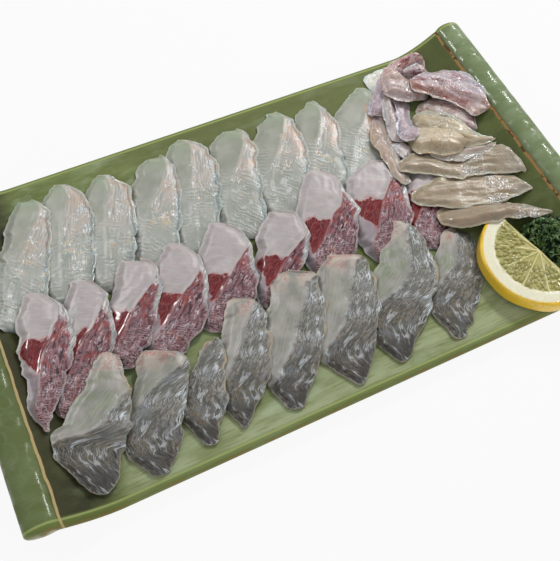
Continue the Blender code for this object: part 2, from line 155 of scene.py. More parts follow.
class Recipe:
    """A material written as a chain of small steps, with its patterns in millimetres."""

    def __init__(self, name):
        self.material = bpy.data.materials.new(name)
        self.material.use_nodes = True
        self.tree = self.material.node_tree
        self.shader = self.tree.nodes["Principled BSDF"]
        self.spot = self.place()

    def field(self, kind, inputs=(), output=0, **settings):
        return Field(self.tree, add_node(self.tree, kind, inputs, **settings).outputs[output])

    def place(self, stretch=(1, 1, 1), source="Object"):
        """Coordinates divided by the stretch, so that a pattern is longer where the stretch is more."""
        unit = 1 / MM if source == "Object" else 1.0
        where = self.field("ShaderNodeTexCoord", output=source)
        return self.field("ShaderNodeMapping", {"Vector": where, "Scale": [unit / s for s in stretch]})

    def axes(self, place):
        split = add_node(self.tree, "ShaderNodeSeparateXYZ", {"Vector": place})
        return [Field(self.tree, output) for output in split.outputs]

    def records(self, *names):
        """What the mesh has on record for each of its points."""
        return [self.field("ShaderNodeAttribute", output="Fac", attribute_name=name) for name in names]

    def noise(self, size, detail=2.0, rough=0.5, twist=0.0, place=None):
        """Soft noise from 0 to 1 with patches of about that size."""
        return self.field("ShaderNodeTexNoise", {"Vector": place or self.spot, "Scale": 1 / size, "Detail": detail,
                                                 "Roughness": rough, "Distortion": twist}, "Fac")

    def streaks(self, stretch, *look):
        """Noise drawn out along the axes of the platter."""
        return self.noise(1.0, *look, place=self.place(stretch))

    def grain(self, along, across, *look):
        """Noise drawn out along a soft piece or across it."""
        return self.noise(1.0, *look, place=self.place((along, across, 1), "UV"))

    def cells(self, size):
        return self.field("ShaderNodeTexVoronoi", {"Vector": self.spot, "Scale": 1 / size}, "Distance")

    def mix(self, share, under, over):
        return self.field("ShaderNodeMix", {0: share, 6: under, 7: over}, 2, data_type="RGBA")

    def layers(self, colour, *coats):
        """A colour with others laid over it in turn, each given as its share and its colour."""
        for share, over in coats:
            colour = self.mix(share, colour, over)
        return colour

    def ramp(self, value, *stops):
        node = add_node(self.tree, "ShaderNodeValToRGB", {"Fac": value})
        points = node.color_ramp.elements
        while len(points) < len(stops):
            points.new(1.0)
        for point, (position, colour) in zip(points, stops):
            point.position, point.color = position, tint(*colour)
        return Field(self.tree, node.outputs[0])

    def finish(self, colour, roughness=0.3, relief=None, depth=0.3, coat=0.0, under=0.0, radius=1.0, shine=0.5):
        """Plugs the chain into the shader. Relief is a height from 0 to 1 that is worth depth millimetres."""
        inputs = self.shader.inputs
        feed(self.tree, inputs["Base Color"], colour)
        feed(self.tree, inputs["Roughness"], roughness)
        inputs["Specular IOR Level"].default_value = shine
        inputs["Coat Weight"].default_value = coat
        inputs["Coat Roughness"].default_value = 0.06
        inputs["Subsurface Weight"].default_value = under
        inputs["Subsurface Scale"].default_value = radius * MM
        inputs["Subsurface Radius"].default_value = (1.0, 0.6, 0.45)
        if relief is not None:
            bump = self.field("ShaderNodeBump", {"Height": relief, "Strength": 1.0, "Distance": depth * MM})
            feed(self.tree, inputs["Normal"], bump)
            feed(self.tree, inputs["Coat Normal"], bump)
        return self.material

# %% Floor and lamps
FLOOR_SIDE = 6.0

floor_mesh = bpy.data.meshes.new("floor")
half = FLOOR_SIDE / 2
floor_mesh.from_pydata([(-half, -half, 0), (half, -half, 0), (half, half, 0), (-half, half, 0)], [], [(0, 1, 2, 3)])
paper = Recipe("pale_paper")
floor_mesh.materials.append(paper.finish(paper.mix(paper.noise(40.0), (58, 58, 58), (62, 62, 62)), 0.9))
paper.shader.inputs["Specular IOR Level"].default_value = 0.0
paper.shader.inputs["Emission Color"].default_value = tint(252, 252, 252)
paper.shader.inputs["Emission Strength"].default_value = 0.94
floor = show("floor", floor_mesh)

sky = bpy.data.worlds.new("even_sky")
sky.use_nodes = True
sky.node_tree.nodes["Background"].inputs["Color"].default_value = (0.97, 0.985, 1.0, 1.0)
sky.node_tree.nodes["Background"].inputs["Strength"].default_value = 0.6
bpy.context.scene.world = sky

LAMPS = {  # place and target in metres, both sides in metres, watts, whether it's only there to be mirrored
    "key": ((0.42, 0.38, 0.62), (0.0, 0.0, 0.0), (0.14, 0.14), 3.9, False),
    "fill": ((-0.6, -0.3, 0.7), (0.0, 0.0, 0.0), (0.6, 0.6), 0.8, False),
    "glint_right": ((0.75, 0.40, 0.55), (0.0, 0.40, 0.0), (0.70, 0.06), 7.0, True),
    "glint_left": ((-0.45, 0.55, 0.60), (0.0, 0.0, 0.0), (0.16, 0.16), 4.0, True),
}
for name, (place, target, sides, watts, mirrored) in LAMPS.items():
    lamp = show(name, bpy.data.lights.new(name, "AREA"))
    lamp.data.shape = "RECTANGLE"
    lamp.data.size, lamp.data.size_y = sides
    lamp.data.energy = watts
    lamp.visible_glossy, lamp.visible_diffuse = mirrored, not mirrored
    lamp.location = place
    lamp.rotation_euler = (Vector(target) - Vector(place)).to_track_quat("-Z", "Y").to_euler()
print("lamps:", ", ".join(LAMPS))

# %% [markdown]
# ## The plate
#
# The real plate is a slab of stoneware whose two ends sweep up in a hollow ramp to a roll, with a scored
# line where ramp meets roll. Its section is the same from front to back, so the finest way to make it is
# the potter's: draw the section once and pull it along Y. The front and back edges are rounded by pulling
# the section in towards itself over the last few millimetres. The CAD solid has the same section in coarse
# steps, so this finer skin stands for it.

# %% Plate section
PLATE_WIDTH, EDGE_ROUND, ROLL_CORNER = 180.0, 2.8, 5.5
FLOOR_Z, UNDER_Z = 10.0, 3.4
RAMP_START, RAMP_END, RAMP_RISE, RAMP_POWER, RAMP_THICKENING = 117.0, 143.0, 12.0, 1.7, 1.2
ROLL_CENTRE, ROLL_HALF, ROLL_FROM, ROLL_TO = (151.0, 20.9), (7.8, 5.6), 158, -126
GROOVE_HALF, GROOVE_DEPTH = 0.6, 0.45
FLOOR_STEP, RAMP_STEPS, ROLL_STEPS, ROUND_STEPS, STATIONS = 3.0, 22, 44, 6, 59


def half_section():
    """The right half of the section, from the middle of the floor round the roll to the middle underneath."""
    floor_line = [(x, FLOOR_Z) for x in np.arange(0.0, RAMP_START, FLOOR_STEP)]
    rise = np.linspace(0, 1 - GROOVE_HALF / (RAMP_END - RAMP_START), RAMP_STEPS + 1)
    ramp = [(RAMP_START + (RAMP_END - RAMP_START) * t, FLOOR_Z + RAMP_RISE * t**RAMP_POWER) for t in rise]
    groove = [(RAMP_END, FLOOR_Z + RAMP_RISE - GROOVE_DEPTH)]
    turns = np.radians(np.linspace(ROLL_FROM, ROLL_TO, ROLL_STEPS))
    roll = [(ROLL_CENTRE[0] + ROLL_HALF[0] * math.cos(a), ROLL_CENTRE[1] + ROLL_HALF[1] * math.sin(a))
            for a in turns]
    depth = FLOOR_Z - UNDER_Z
    under = [(x, z - depth - RAMP_THICKENING * t) for (x, z), t in zip(ramp, rise)]
    return floor_line + ramp + groove + roll + under[-3::-1] + [(x, UNDER_Z) for x, _ in reversed(floor_line)]


def bridge(shape, lines, first=0):
    """Faces between each line of points and the next. The lines are closed, or open where first is 1."""
    for near, far in zip(lines, lines[1:]):
        for i in range(first, len(near)):
            shape.faces.new((near[i - 1], near[i], far[i], far[i - 1]))


def swept(section, stations):
    """A closed skin through copies of the section at each station, which is a Y and how far to pull it in."""
    points = np.array(section)
    before, after = np.roll(points, 1, axis=0), np.roll(points, -1, axis=0)
    inward = np.stack([(after - before)[:, 1], -(after - before)[:, 0]], axis=1)
    inward /= np.linalg.norm(inward, axis=1)[:, None]
    shape = bmesh.new()
    rings = []
    for y, pull in stations:
        moved = points + inward * pull
        outward = np.maximum(0, np.abs(moved[:, 0]) - RAMP_END) / (ROLL_CENTRE[0] + ROLL_HALF[0] - RAMP_END)
        near_end = (pull / EDGE_ROUND) ** 2
        moved[:, 0] -= np.sign(moved[:, 0]) * ROLL_CORNER * near_end * outward
        rings.append([shape.verts.new((x * MM, y * MM, z * MM)) for x, z in moved])
    bridge(shape, rings)
    for end in (rings[0], rings[-1]):
        shape.faces.new(end)
    return shape


def mesh_of(name, shape, material=None, smooth=True):
    """Turns a bmesh into a mesh whose faces point outwards, all smooth or shaded as they came."""
    bmesh.ops.recalc_face_normals(shape, faces=shape.faces)
    mesh = bpy.data.meshes.new(name)
    shape.to_mesh(mesh)
    shape.free()
    if material:
        mesh.materials.append(material)
    if smooth:
        mesh.polygons.foreach_set("use_smooth", [True] * len(mesh.polygons))
    return mesh


def add_piece(name, mesh, slot, *nodes):
    """Puts a mesh on the platter, where it stands for those CAD nodes."""
    thing = show(name, mesh)
    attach(thing, "root")
    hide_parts(*nodes)
    return thing


def record(mesh, name, values):
    mesh.attributes.new(name, "FLOAT", "POINT").data.foreach_set("value", values)

# %% [markdown]
# ## The glaze
#
# A wood-ash green glaze lies over brushed slip, so it is streaked along the plate. It runs thin and golden
# brown where it breaks over an edge or pools by the scored line, clouds over with a pale mint bloom in
# places, and is darkest on the ramps. The left ramp is painted darker still as shade, most of all beside its
# scored line, and a painted highlight runs along the crest of the front and back edges. All of that is a
# pattern in millimetres on the plate's own coordinates: noise stretched along X for the streaks, and soft
# steps in X and Y for what happens at edges.

# %% Glaze
EDGE = PLATE_WIDTH / 2


def make_glaze():
    glaze = Recipe("green_glaze")
    x, y, z = glaze.axes(glaze.spot)
    wide, deep = abs(x), abs(y)
    left = x.step(1.0, -1.0)
    drift = glaze.streaks((26, 7, 7), 3)
    streak = glaze.streaks((14, 0.8, 2), 3, 0.6)
    fine = glaze.streaks((5, 0.35, 1), 2, 0.6)

    near = y.step(-18.0, -70.0) * wide.step(RAMP_START + 6, RAMP_START - 12)
    back = y.step(40.0, 66.0) * x.step(-80.0, -20.0)
    ramp = wide.step(RAMP_START - 4, RAMP_START + 10) * (drift.step(0.7, 0.35) * 0.25 + 0.75)
    roll = wide.step(RAMP_END + 0.2, RAMP_END + 1.2)
    roll_colour = glaze.mix(drift.step(0.4, 0.65) * 0.35, glaze.mix(left, (104, 118, 80), (90, 102, 58)),
                            glaze.mix(left, (138, 150, 118), (114, 126, 86)))
    # the crest of the rounded front and back edges, which gets a painted highlight
    crest = deep.step(EDGE - 3.6, EDGE - 3.0) * deep.step(EDGE - 2.1, EDGE - 2.7)
    broken = deep.step(EDGE - 1.0, EDGE - 0.3) * glaze.noise(7.0).step(0.35, 0.6)
    wavy = abs(wide + (glaze.noise(9.0, 2) * 1.4 - (RAMP_END + 0.7)))
    blotched = glaze.mix(glaze.noise(5.0, 2).step(0.5, 0.6), (150, 112, 66), (84, 50, 26))
    colour = glaze.layers(
        glaze.mix(drift.step(0.3, 0.7), (95, 106, 54), (120, 132, 80)),
        (near * 0.75, glaze.mix(drift.step(0.35, 0.65), (132, 141, 98), (162, 170, 134))),
        (streak.step(0.52, 0.66) * 0.5, (86, 100, 42)),
        (fine.step(0.56, 0.7) * 0.3, (160, 172, 124)),
        (glaze.streaks((20, 9, 9), 3).step(0.5, 0.72) * 0.5, (166, 180, 150)),
        (back * 0.7, glaze.mix(streak, (78, 84, 40), (100, 104, 62))),
        # the ramps are darker glaze; the left ramp's still darker colour is painted shade
        (ramp, glaze.mix(left, (72, 80, 38), (40, 40, 15))),
        # painted shade on the left ramp beside its scored line
        (wide.step(RAMP_END - 12, RAMP_END - 1) * left * 0.7, (52, 50, 22)),
        (roll, roll_colour),
        (deep.step(EDGE - 4.4, EDGE - 2.8) * 0.75, (104, 116, 56)),
        # painted highlight along the crest of the rounded edge
        (crest * 0.5, (168, 182, 112)),
        (broken * 0.6, (128, 104, 48)),
        (wavy.step(0.75, 0.3), glaze.mix(left, blotched, (176, 156, 108))),
        (z.step(0.9, 0.5), glaze.mix(fine, (176, 150, 118), (150, 124, 94))))  # the unglazed foot
    clear = roll * glaze.streaks((9, 8, 9), 2).step(0.44, 0.56)
    gloss = glaze.mix(roll, drift * 0.3 + 0.6, clear * -0.62 + 0.8)
    return glaze.finish(colour, gloss, streak * 0.35 + drift * 1.2, depth=0.25, shine=0.3)


GLAZE = make_glaze()

# %% Build the plate
stations = [(-PLATE_WIDTH / 2 + EDGE_ROUND * (1 - math.cos(a)), EDGE_ROUND * (1 - math.sin(a)))
            for a in np.linspace(0, math.pi / 2, ROUND_STEPS + 1)]
inner_half = PLATE_WIDTH / 2 - EDGE_ROUND
middle_stations = [(y, 0.0) for y in np.linspace(-inner_half, inner_half, STATIONS)]
stations = stations + middle_stations[1:-1] + [(-y, pull) for y, pull in reversed(stations)]
right_half = half_section()
left_half = [(-x, z) for x, z in reversed(right_half)]
plate_shape = swept(right_half + left_half[1:-1], stations)

FOOT_LENGTH, FOOT_WIDTH, FOOT_BAND, FOOT_CORNER, FOOT_ROUND = 232.0, 128.0, 9.0, 18.0, 0.8


def foot_ring(shape):
    """A ring with rounded lower edges, whose top is buried in the plate."""
    lines = []
    outside = ((0, UNDER_Z + 1), (0, FOOT_ROUND), (FOOT_ROUND * 0.3, FOOT_ROUND * 0.3), (FOOT_ROUND, 0))
    for pull, z in outside + tuple((FOOT_BAND - pull, z) for pull, z in reversed(outside)):
        line = []
        for quarter, (side_x, side_y) in enumerate(((1, 1), (-1, 1), (-1, -1), (1, -1))):
            for a in np.radians(np.linspace(90 * quarter, 90 * quarter + 90, 10)):
                reach = FOOT_CORNER - pull
                x = side_x * (FOOT_LENGTH / 2 - FOOT_CORNER) + reach * math.cos(a)
                y = side_y * (FOOT_WIDTH / 2 - FOOT_CORNER) + reach * math.sin(a)
                line.append(shape.verts.new((x * MM, y * MM, z * MM)))
        lines.append(line)
    bridge(shape, lines + lines[:1])


foot_ring(plate_shape)
plate = add_piece("glazed_plate", mesh_of("glazed_plate", plate_shape, GLAZE), "green_glaze", "plate")
print("plate:", len(plate.data.polygons), "faces,", [round(d / MM, 1) for d in plate.dimensions], "mm")

# %% [markdown]
# ## Fine skins for soft pieces
#
# Each slice in the CAD model is a closed sheet of a few dozen faces that already drapes over what is below
# it. A finer skin is made in three steps. The sheet's outline in plan is split into a left and a right side
# between its two far ends. A fine grid is stretched between the sides. And each point of the grid feels the
# solid's top and underside, whose heights are then smoothed, so the skin lies where the solid lies. Top and
# underside meet in a rounded rim. The sides stray a little, in straight bits between corners with fine
# fraying, as the edges of cut and torn flesh do, and each piece thins towards them. The grid also records
# where each point is on its piece, along it, across it from its ridge, and in from its rim, and the finishes
# read those records.

# %% Outline and survey of a soft solid
class Survey(NamedTuple):
    """What the fine skin of one piece is made from. Lengths in millimetres, one value for each grid point."""
    spots: np.ndarray  # x and y
    top: np.ndarray
    under: np.ndarray
    run: np.ndarray  # along the piece from its foot
    share: np.ndarray  # the same, from 0 at the foot to 1 at the tip
    across: np.ndarray  # from 0 on the left side to 1 on the right
    ridge: np.ndarray  # from the ridge, more than 0 to its right
    rim: np.ndarray  # in from the nearest edge
    right: np.ndarray  # in from the right side
    seed: int

    def bumps(self, along, across, number=0, octaves=2):
        """Smooth noise from -1 to 1 with bumps of about that length and width."""
        return lattice_noise(self.run / along, self.ridge / across, self.seed + number, octaves)


def far_ends(points):
    """The two points of a plan that lie farthest apart, the one with the lower X first."""
    apart = np.linalg.norm(points[:, None] - points[None], axis=2)
    ends = points[list(np.unravel_index(apart.argmax(), apart.shape))]
    return ends[ends[:, 0].argsort()]


def sides_of(runs, offs, edges, levels):
    """The leftmost and rightmost place of a solid at each level along it, where its edges cross that level."""
    sides = []
    for level in levels:
        before, after = runs[edges[:, 0]] - level, runs[edges[:, 1]] - level
        crossing = (before * after <= 0) & (before != after)
        share = before[crossing] / (before - after)[crossing]
        first, second = offs[edges[crossing, 0]], offs[edges[crossing, 1]]
        found = first + (second - first) * share
        sides.append((found.min(), found.max()))
    return np.array(sides).T


def lattice_noise(x, y, seed, octaves=2):
    """Smooth noise from -1 to 1 over a square lattice of one unit."""
    total, weight, size = 0.0, 0.0, 1.0
    for octave in range(octaves):
        table = np.random.default_rng(seed * 7 + octave).random((64, 64)) * 2 - 1
        a, b = x * 2**octave, y * 2**octave
        i, j = np.floor(a).astype(int), np.floor(b).astype(int)
        u, v = a - i, b - j
        u, v = u * u * (3 - 2 * u), v * v * (3 - 2 * v)
        low = table[i % 64, j % 64] * (1 - u) + table[(i + 1) % 64, j % 64] * u
        high = table[i % 64, (j + 1) % 64] * (1 - u) + table[(i + 1) % 64, (j + 1) % 64] * u
        total += size * (low * (1 - v) + high * v)
        weight += size
        size /= 2
    return total / weight


def softened(values, passes):
    """Each value moved towards the mean of its neighbours, with free edges."""
    for _ in range(passes):
        padded = np.pad(values, 1, mode="edge")
        if values.ndim == 1:
            values = values / 2 + (padded[:-2] + padded[2:]) / 4
        else:
            near = padded[:-2, 1:-1] + padded[2:, 1:-1] + padded[1:-1, :-2] + padded[1:-1, 2:]
            values = values / 2 + near / 8
    return values


def soft_step(value, low, high):
    value = np.clip((value - low) / (high - low), 0, 1)
    return value * value * (3 - 2 * value)


SIDE_SAMPLES = 241
INSET_ACROSS, INSET_ALONG = 0.05, 0.04  # how far inside its outline the solid is felt, as shares
ROUND_END = 1.2
CORNERS, CORNERS_APART, CORNER_STRAY = 40, (2.0, 8.0), 0.85
FRAY_SIZE, FRAY_STRAY = 2.2, 0.5


def torn_line(run, seed):
    """How far an edge strays to either side: straight bits between corners, with fine fraying."""
    corners = np.random.default_rng(seed).uniform(-1, 1, CORNERS)
    places = np.cumsum(np.random.default_rng(seed + 1).uniform(*CORNERS_APART, CORNERS)) - 5
    fray = lattice_noise(run / FRAY_SIZE, run * 0 + 9.5, seed, 3)
    return CORNER_STRAY * np.interp(run, places, corners) + FRAY_STRAY * fray


def survey(node, ridge, rows, columns, wobble=1.7, soften=7, grow=0.9, point=ROUND_END):
    """Measures a CAD node on a fine grid. The ridge is given as shares along and places across, -1 to 1."""
    shape = bmesh.new()
    shape.from_mesh(frame["nodes"][node].data)
    bmesh.ops.remove_doubles(shape, verts=shape.verts, dist=1e-6)
    shape.normal_update()
    points = np.array([vertex.co for vertex in shape.verts]) / MM
    shape.verts.index_update()
    edges = np.array([[vertex.index for vertex in edge.verts] for edge in shape.edges])
    tree = BVHTree.FromBMesh(shape)
    shape.free()
    foot, tip = far_ends(points[:, :2])
    length = np.linalg.norm(tip - foot)
    forward = (tip - foot) / length
    rightward = np.array((forward[1], -forward[0]))
    fine_turn = np.linspace(0, math.pi, SIDE_SAMPLES)
    fine_run = length * (1 - np.cos(fine_turn)) / 2
    levels = np.clip(fine_run, 0.002 * length, 0.998 * length)
    sides = sides_of((points[:, :2] - foot) @ forward, (points[:, :2] - foot) @ rightward, edges, levels)
    closing = np.sqrt(1 - (1 - np.clip(fine_run / ROUND_END, 0, 1)) ** 2)
    closing *= np.sqrt(1 - (1 - np.clip((length - fine_run) / point, 0, 1)) ** 2)
    centre = softened(sides.mean(0), 60)
    seed = sum(map(ord, node))
    left, right = (
        centre + closing * (softened(line, 4) - centre + grow * (2 * number - 1))
        + wobble * torn_line(fine_run, seed + number) * closing
        for number, line in enumerate(sides))

    turns = np.linspace(0, math.pi, rows + 1)
    turns = 0.75 * turns + 0.25 * np.arccos(1 - 2 * np.linspace(0, 1, rows + 1))
    even = np.linspace(0, 1, columns + 1)
    across = 0.35 * even + 0.65 * (1 - np.cos(math.pi * even)) / 2

    def spots_at(turns, across):
        a, b = np.interp(turns, fine_turn, left), np.interp(turns, fine_turn, right)
        run = length * (1 - np.cos(turns)) / 2
        off = a[:, None] + (b - a)[:, None] * across[None]
        return foot + run[:, None, None] * forward + off[..., None] * rightward, run, off, a, b

    spots, run, off, a, b = spots_at(turns, across)
    felt = np.clip(turns, np.arccos(1 - 2 * INSET_ALONG), np.arccos(2 * INSET_ALONG - 1))
    probes = spots_at(felt, INSET_ACROSS + (1 - 2 * INSET_ACROSS) * across)[0]
    top, under = np.zeros(off.shape), np.zeros(off.shape)
    for i in range(rows + 1):
        for j in range(columns + 1):
            for heights, side in ((top, 1.0), (under, -1.0)):
                met = tree.ray_cast(Vector((*probes[i, j] * MM, side)), Vector((0, 0, -side)))[0]
                heights[i, j] = met.z / MM if met else np.nan
    middle = columns // 2
    for heights in (top, under):
        for i in range(rows + 1):
            for j in list(range(middle, -1, -1)) + list(range(middle, columns + 1)):
                if np.isnan(heights[i, j]):
                    heights[i, j] = heights[i, j + (1 if j < middle else -1)]
        gaps = np.isnan(heights)
        heights[gaps] = np.nanmean(heights)
    share = (run / length)[:, None] * np.ones_like(off)
    ridge_share = np.interp(share, *zip(*ridge))
    ridge_off = np.where(ridge_share < 0, -a[:, None] * ridge_share, b[:, None] * ridge_share)
    run = run[:, None] * np.ones_like(off)
    rim = np.minimum.reduce([off - a[:, None], b[:, None] - off, run, length - run])
    return Survey(spots, softened(top, soften), softened(under, soften), run, share,
                  across[None] * np.ones_like(off), off - ridge_off, rim, b[:, None] - off, seed)

# %% Skin over a survey
ROUND_OVER = 0.6
MIDDLE_HEIGHT = 0.42  # where the rim lies between underside and top


def skin(name, node, found, relief, material, slot, mark=None, edge=0.18, taper=5.5):
    """A closed mesh that thins to a share of its thickness at its rounded rim. Relief is added to the top."""
    rows, columns = (n - 1 for n in found.top.shape)
    inward = np.clip(found.rim / ROUND_OVER, 0, 1)
    full = np.sqrt(1 - (1 - inward) ** 2)
    thick = np.maximum(found.top - found.under, 0.5) * (edge + (1 - edge) * soft_step(found.rim, 0, taper))
    middle = found.under + MIDDLE_HEIGHT * thick
    top = middle + (found.under + thick - middle) * full + relief * full
    under = middle - (middle - found.under) * full
    outline = np.zeros_like(top, bool)
    outline[0] = outline[-1] = outline[:, 0] = outline[:, -1] = True
    count = (rows + 1) * (columns + 1)
    upper = np.arange(count).reshape(rows + 1, columns + 1)
    lower = upper.copy()
    lower[~outline] = count + np.arange((~outline).sum())
    points = np.concatenate([np.dstack([found.spots, top]).reshape(-1, 3),
                             np.dstack([found.spots, under])[~outline]]) * MM

    def quads(at):
        return np.stack([at[:-1, :-1], at[:-1, 1:], at[1:, 1:], at[1:, :-1]], -1).reshape(-1, 4)

    faces = np.concatenate([quads(upper), quads(lower)[:, ::-1]])
    mesh = bpy.data.meshes.new(name)
    mesh.from_pydata(points.tolist(), [], faces.tolist())
    mesh.polygons.foreach_set("use_smooth", [True] * len(faces))
    records = {label: getattr(found, label) for label in ("share", "across", "ridge", "rim", "right")}
    if mark is not None:
        records["mark"] = mark
    for label, values in records.items():
        record(mesh, label, np.concatenate([values.reshape(-1), values[~outline]]).astype(np.float32))
    grain = np.dstack([found.run, found.ridge])
    grain = np.concatenate([grain.reshape(-1, 2), grain[~outline]])
    corners = np.empty(len(mesh.loops), np.int32)
    mesh.loops.foreach_get("vertex_index", corners)
    mesh.uv_layers.new(name="grain").data.foreach_set("uv", grain[corners].astype(np.float32).ravel())
    mesh.materials.append(material)
    return add_piece(name, mesh, slot, node)

# %% [markdown]
# ## The back row: white fish
#
# These slices were cut aslant from the back of a white fish. The left half of each is its cut face, clear
# and grey green, almost without marks. Beyond a ridge that runs up to the right lies the side that carried
# the skin: silvery and pinkish, its silver sheen partly painted, with a thin stripe of peach along its upper
# edge and wet winding glints below, which are painted highlights. Lower down, the muscle shows as fine
# ripples across the slice. The ripples are real relief in the mesh, and the finish follows the same wave on
# the same coordinates.

# %% Finish of white fish
RIPPLE_PITCH, RIPPLE_BOW, RIPPLE_SLOPE = 2.2, 0.012, 0.18


def ripple_wave(fish):
    """0 in the valleys and 1 on the crests of the ripples that cross a slice."""
    along, off, _ = fish.axes(fish.place(source="UV"))
    bowed = off * off * RIPPLE_BOW + along + off * RIPPLE_SLOPE + fish.noise(6.0, 3) * 7.0
    return (bowed * (2 * math.pi / RIPPLE_PITCH)).maths("SINE") * 0.5 + 0.5


def make_white_fish():
    fish = Recipe("white_fish")
    share, ridge, rim, mark = fish.records("share", "ridge", "rim", "mark")
    cloud = fish.noise(9.0, 3)
    fibre = fish.grain(8, 0.9, 3, 0.6)
    wave = ripple_wave(fish)
    crest = wave.step(0.45, 0.95)
    skin_side = ridge.step(-0.6, 1.6)
    skin = fish.layers(
        fish.mix(fibre.step(0.35, 0.65), (160, 157, 150), (192, 188, 182)),
        (fish.noise(6.0, 3).step(0.45, 0.6) * 0.6, (188, 170, 154)))
    pale = fish.mix(cloud.step(0.35, 0.65), (152, 156, 147), (170, 170, 163))
    rippled = fish.mix(crest, fish.mix(0.2, pale, (132, 138, 130)), (194, 196, 190))
    peach = mark * fish.noise(2.2, 3).step(0.3, 0.62)
    low = share.step(0.66, 0.46) * fish.noise(6.0, 3).step(0.4, 0.66)
    teal = share.step(0.42, 0.25) * fish.noise(9.0, 2).step(0.5, 0.66) * wave.step(0.7, 0.2)
    tan = (share.step(0.3, 0.4) * share.step(0.56, 0.46) * ridge.step(0.5, 2.5)
           * fish.noise(4.5, 2).step(0.55, 0.66))
    # silvery skin with its sheen painted: a pale silver patch that stands in for reflection
    silver_and_painted_sheen = share.step(0.5, 0.34) * fish.noise(5.0, 3, 0.6).step(0.56, 0.68)
    # painted highlights: thin pale threads as wet winding glints
    painted_glint = (fish.grain(3.9, 1.5, 1).thread(0.05) * ridge.step(-1.5, 1.0) * share.step(0.36, 0.46)
             * share.step(0.84, 0.7) * fish.noise(4.5, 2).step(0.5, 0.6))
    colour = fish.layers(
        fish.mix(cloud.step(0.3, 0.7), (144, 146, 133), (161, 161, 150)),
        (share.step(0.74, 1.0), (146, 156, 134)),
        (skin_side, skin),
        (peach * 0.6, fish.mix(fibre.step(0.4, 0.6), (198, 138, 112), (214, 170, 140))),
        (share.step(0.62, 0.4), pale),
        (low * 0.55, rippled),
        (teal * 0.45, (132, 140, 136)),
        (tan * 0.55, (206, 176, 128)),
        (silver_and_painted_sheen * 0.6, (206, 208, 206)),
        (painted_glint * 0.85, (240, 242, 244)),
        (rim.step(1.2, 0.2) * 0.5, (194, 198, 182)))
    relief = crest * low * 0.6 + fibre * (skin_side * 0.8 + 0.15) + painted_glint * 0.8
    return fish.finish(colour, skin_side * -0.2 + 0.42, relief, depth=0.35, under=0.6, radius=3.0)


WHITE_FISH = make_white_fish()

# %% [markdown]
# ## The middle row: slices with a blood line
#
# The dark muscle under the skin shows here. On the cut face it is a glassy wine-red wedge beside the ridge,
# with faint painted glints in it, pinkish grey flesh above it and lilac grey below. Past the ridge lies a lens
# of dark skin side that ends in a point at its top: a mottled purple brown with pale squiggles and flashes
# that are painted wet highlights, redder at the top and pink towards the foot. A strip of clear flesh with
# silver streaks is left along the upper right edge.

# %% Finish of fish with a blood line
def make_red_fish():
    fish = Recipe("red_fish")
    share, ridge, rim, mark, right = fish.records("share", "ridge", "rim", "mark", "right")
    ragged = fish.noise(2.2, 3) * 0.5 - 0.25
    cloud = fish.noise(9.0, 3)
    streak = fish.grain(6, 0.8, 3, 0.6)
    frayed = fish.noise(2.6, 4, 0.6) * 1.4 - 0.7 + mark
    wedge = frayed.step(0.4, 0.62)
    cut = fish.layers(
        fish.mix(cloud.step(0.3, 0.7), (168, 160, 159), (180, 171, 170)),
        (fish.grain(0.9, 7, 2).step(0.5, 0.7) * 0.3, (204, 198, 196)),
        (share.step(0.48, 0.32), fish.mix(cloud, (136, 126, 132), (158, 147, 151))),
        (frayed.step(0.1, 0.5) * 0.6, (172, 104, 104)),
        (wedge, fish.mix(streak.step(0.38, 0.66), (88, 12, 18), (128, 30, 34))),
        # painted glints: faint pale streaks in the wedge
        (fish.grain(4.08, 0.96, 1).thread(0.06) * wedge * 0.2, (190, 130, 132)))

    mottle = fish.grain(4.0, 1.2, 4, 0.6, 0.6)
    red = (fish.noise(5.0, 2) + (share * 0.6 - 0.3)).step(0.5, 0.66)
    rust = fish.noise(6.0, 2).step(0.6, 0.7) * mottle.step(0.4, 0.6)
    cross = fish.grain(1.1, 4.4, 1).thread(0.06) * share.step(0.45, 0.25)
    # painted highlights: pale wet squiggles, joined with the pale cross lines of the skin lower down
    painted_glints_and_cross_lines = fish.grain(4.32, 1.2, 1).thread(0.06) * fish.noise(4.0, 2).step(0.46, 0.6)
    painted_glints_and_cross_lines = painted_glints_and_cross_lines.most(cross * 0.6)
    edge_strip = right.step(3.2, 1.6) * share.step(0.42, 0.6)
    skin = fish.layers(
        fish.mix(mottle.step(0.38, 0.62), (58, 24, 30), (142, 94, 102)),
        (red * 0.75, fish.mix(mottle, (108, 32, 36), (164, 76, 70))),
        (share.step(0.4, 0.12) * 0.8, fish.mix(mottle.step(0.35, 0.65), (94, 54, 58), (148, 108, 109))),
        (rust * 0.5, (158, 88, 54)),
        (painted_glints_and_cross_lines * 0.75, (216, 198, 204)),
        (edge_strip.most((share + ragged * 0.3).step(0.74, 0.8)),
         fish.mix(streak.step(0.44, 0.6), (160, 154, 150), (210, 208, 208))))

    skin_side = (ridge + ragged).step(-0.2, 0.5)
    # painted highlights: pale flashes on the skin side
    painted_flash = fish.grain(8.16, 2.4, 3, 0.6).step(0.58, 0.68) * skin_side * fish.noise(6.0, 1).step(0.46, 0.58)
    crest = abs(ridge).step(0.5, 0.1) * share.step(0.7, 0.6)
    colour = fish.layers(
        cut,
        (skin_side, skin),
        (painted_flash * 0.75, (218, 204, 212)),
        (crest * 0.35, (196, 150, 146)),
        (rim.step(1.3, 0.2) * 0.5, (202, 194, 188)))
    relief = mottle * skin_side + painted_glints_and_cross_lines * skin_side
    return fish.finish(colour, wedge.most(skin_side) * -0.24 + 0.44, relief, depth=0.6, under=0.5, radius=2.5)


RED_FISH = make_red_fish()
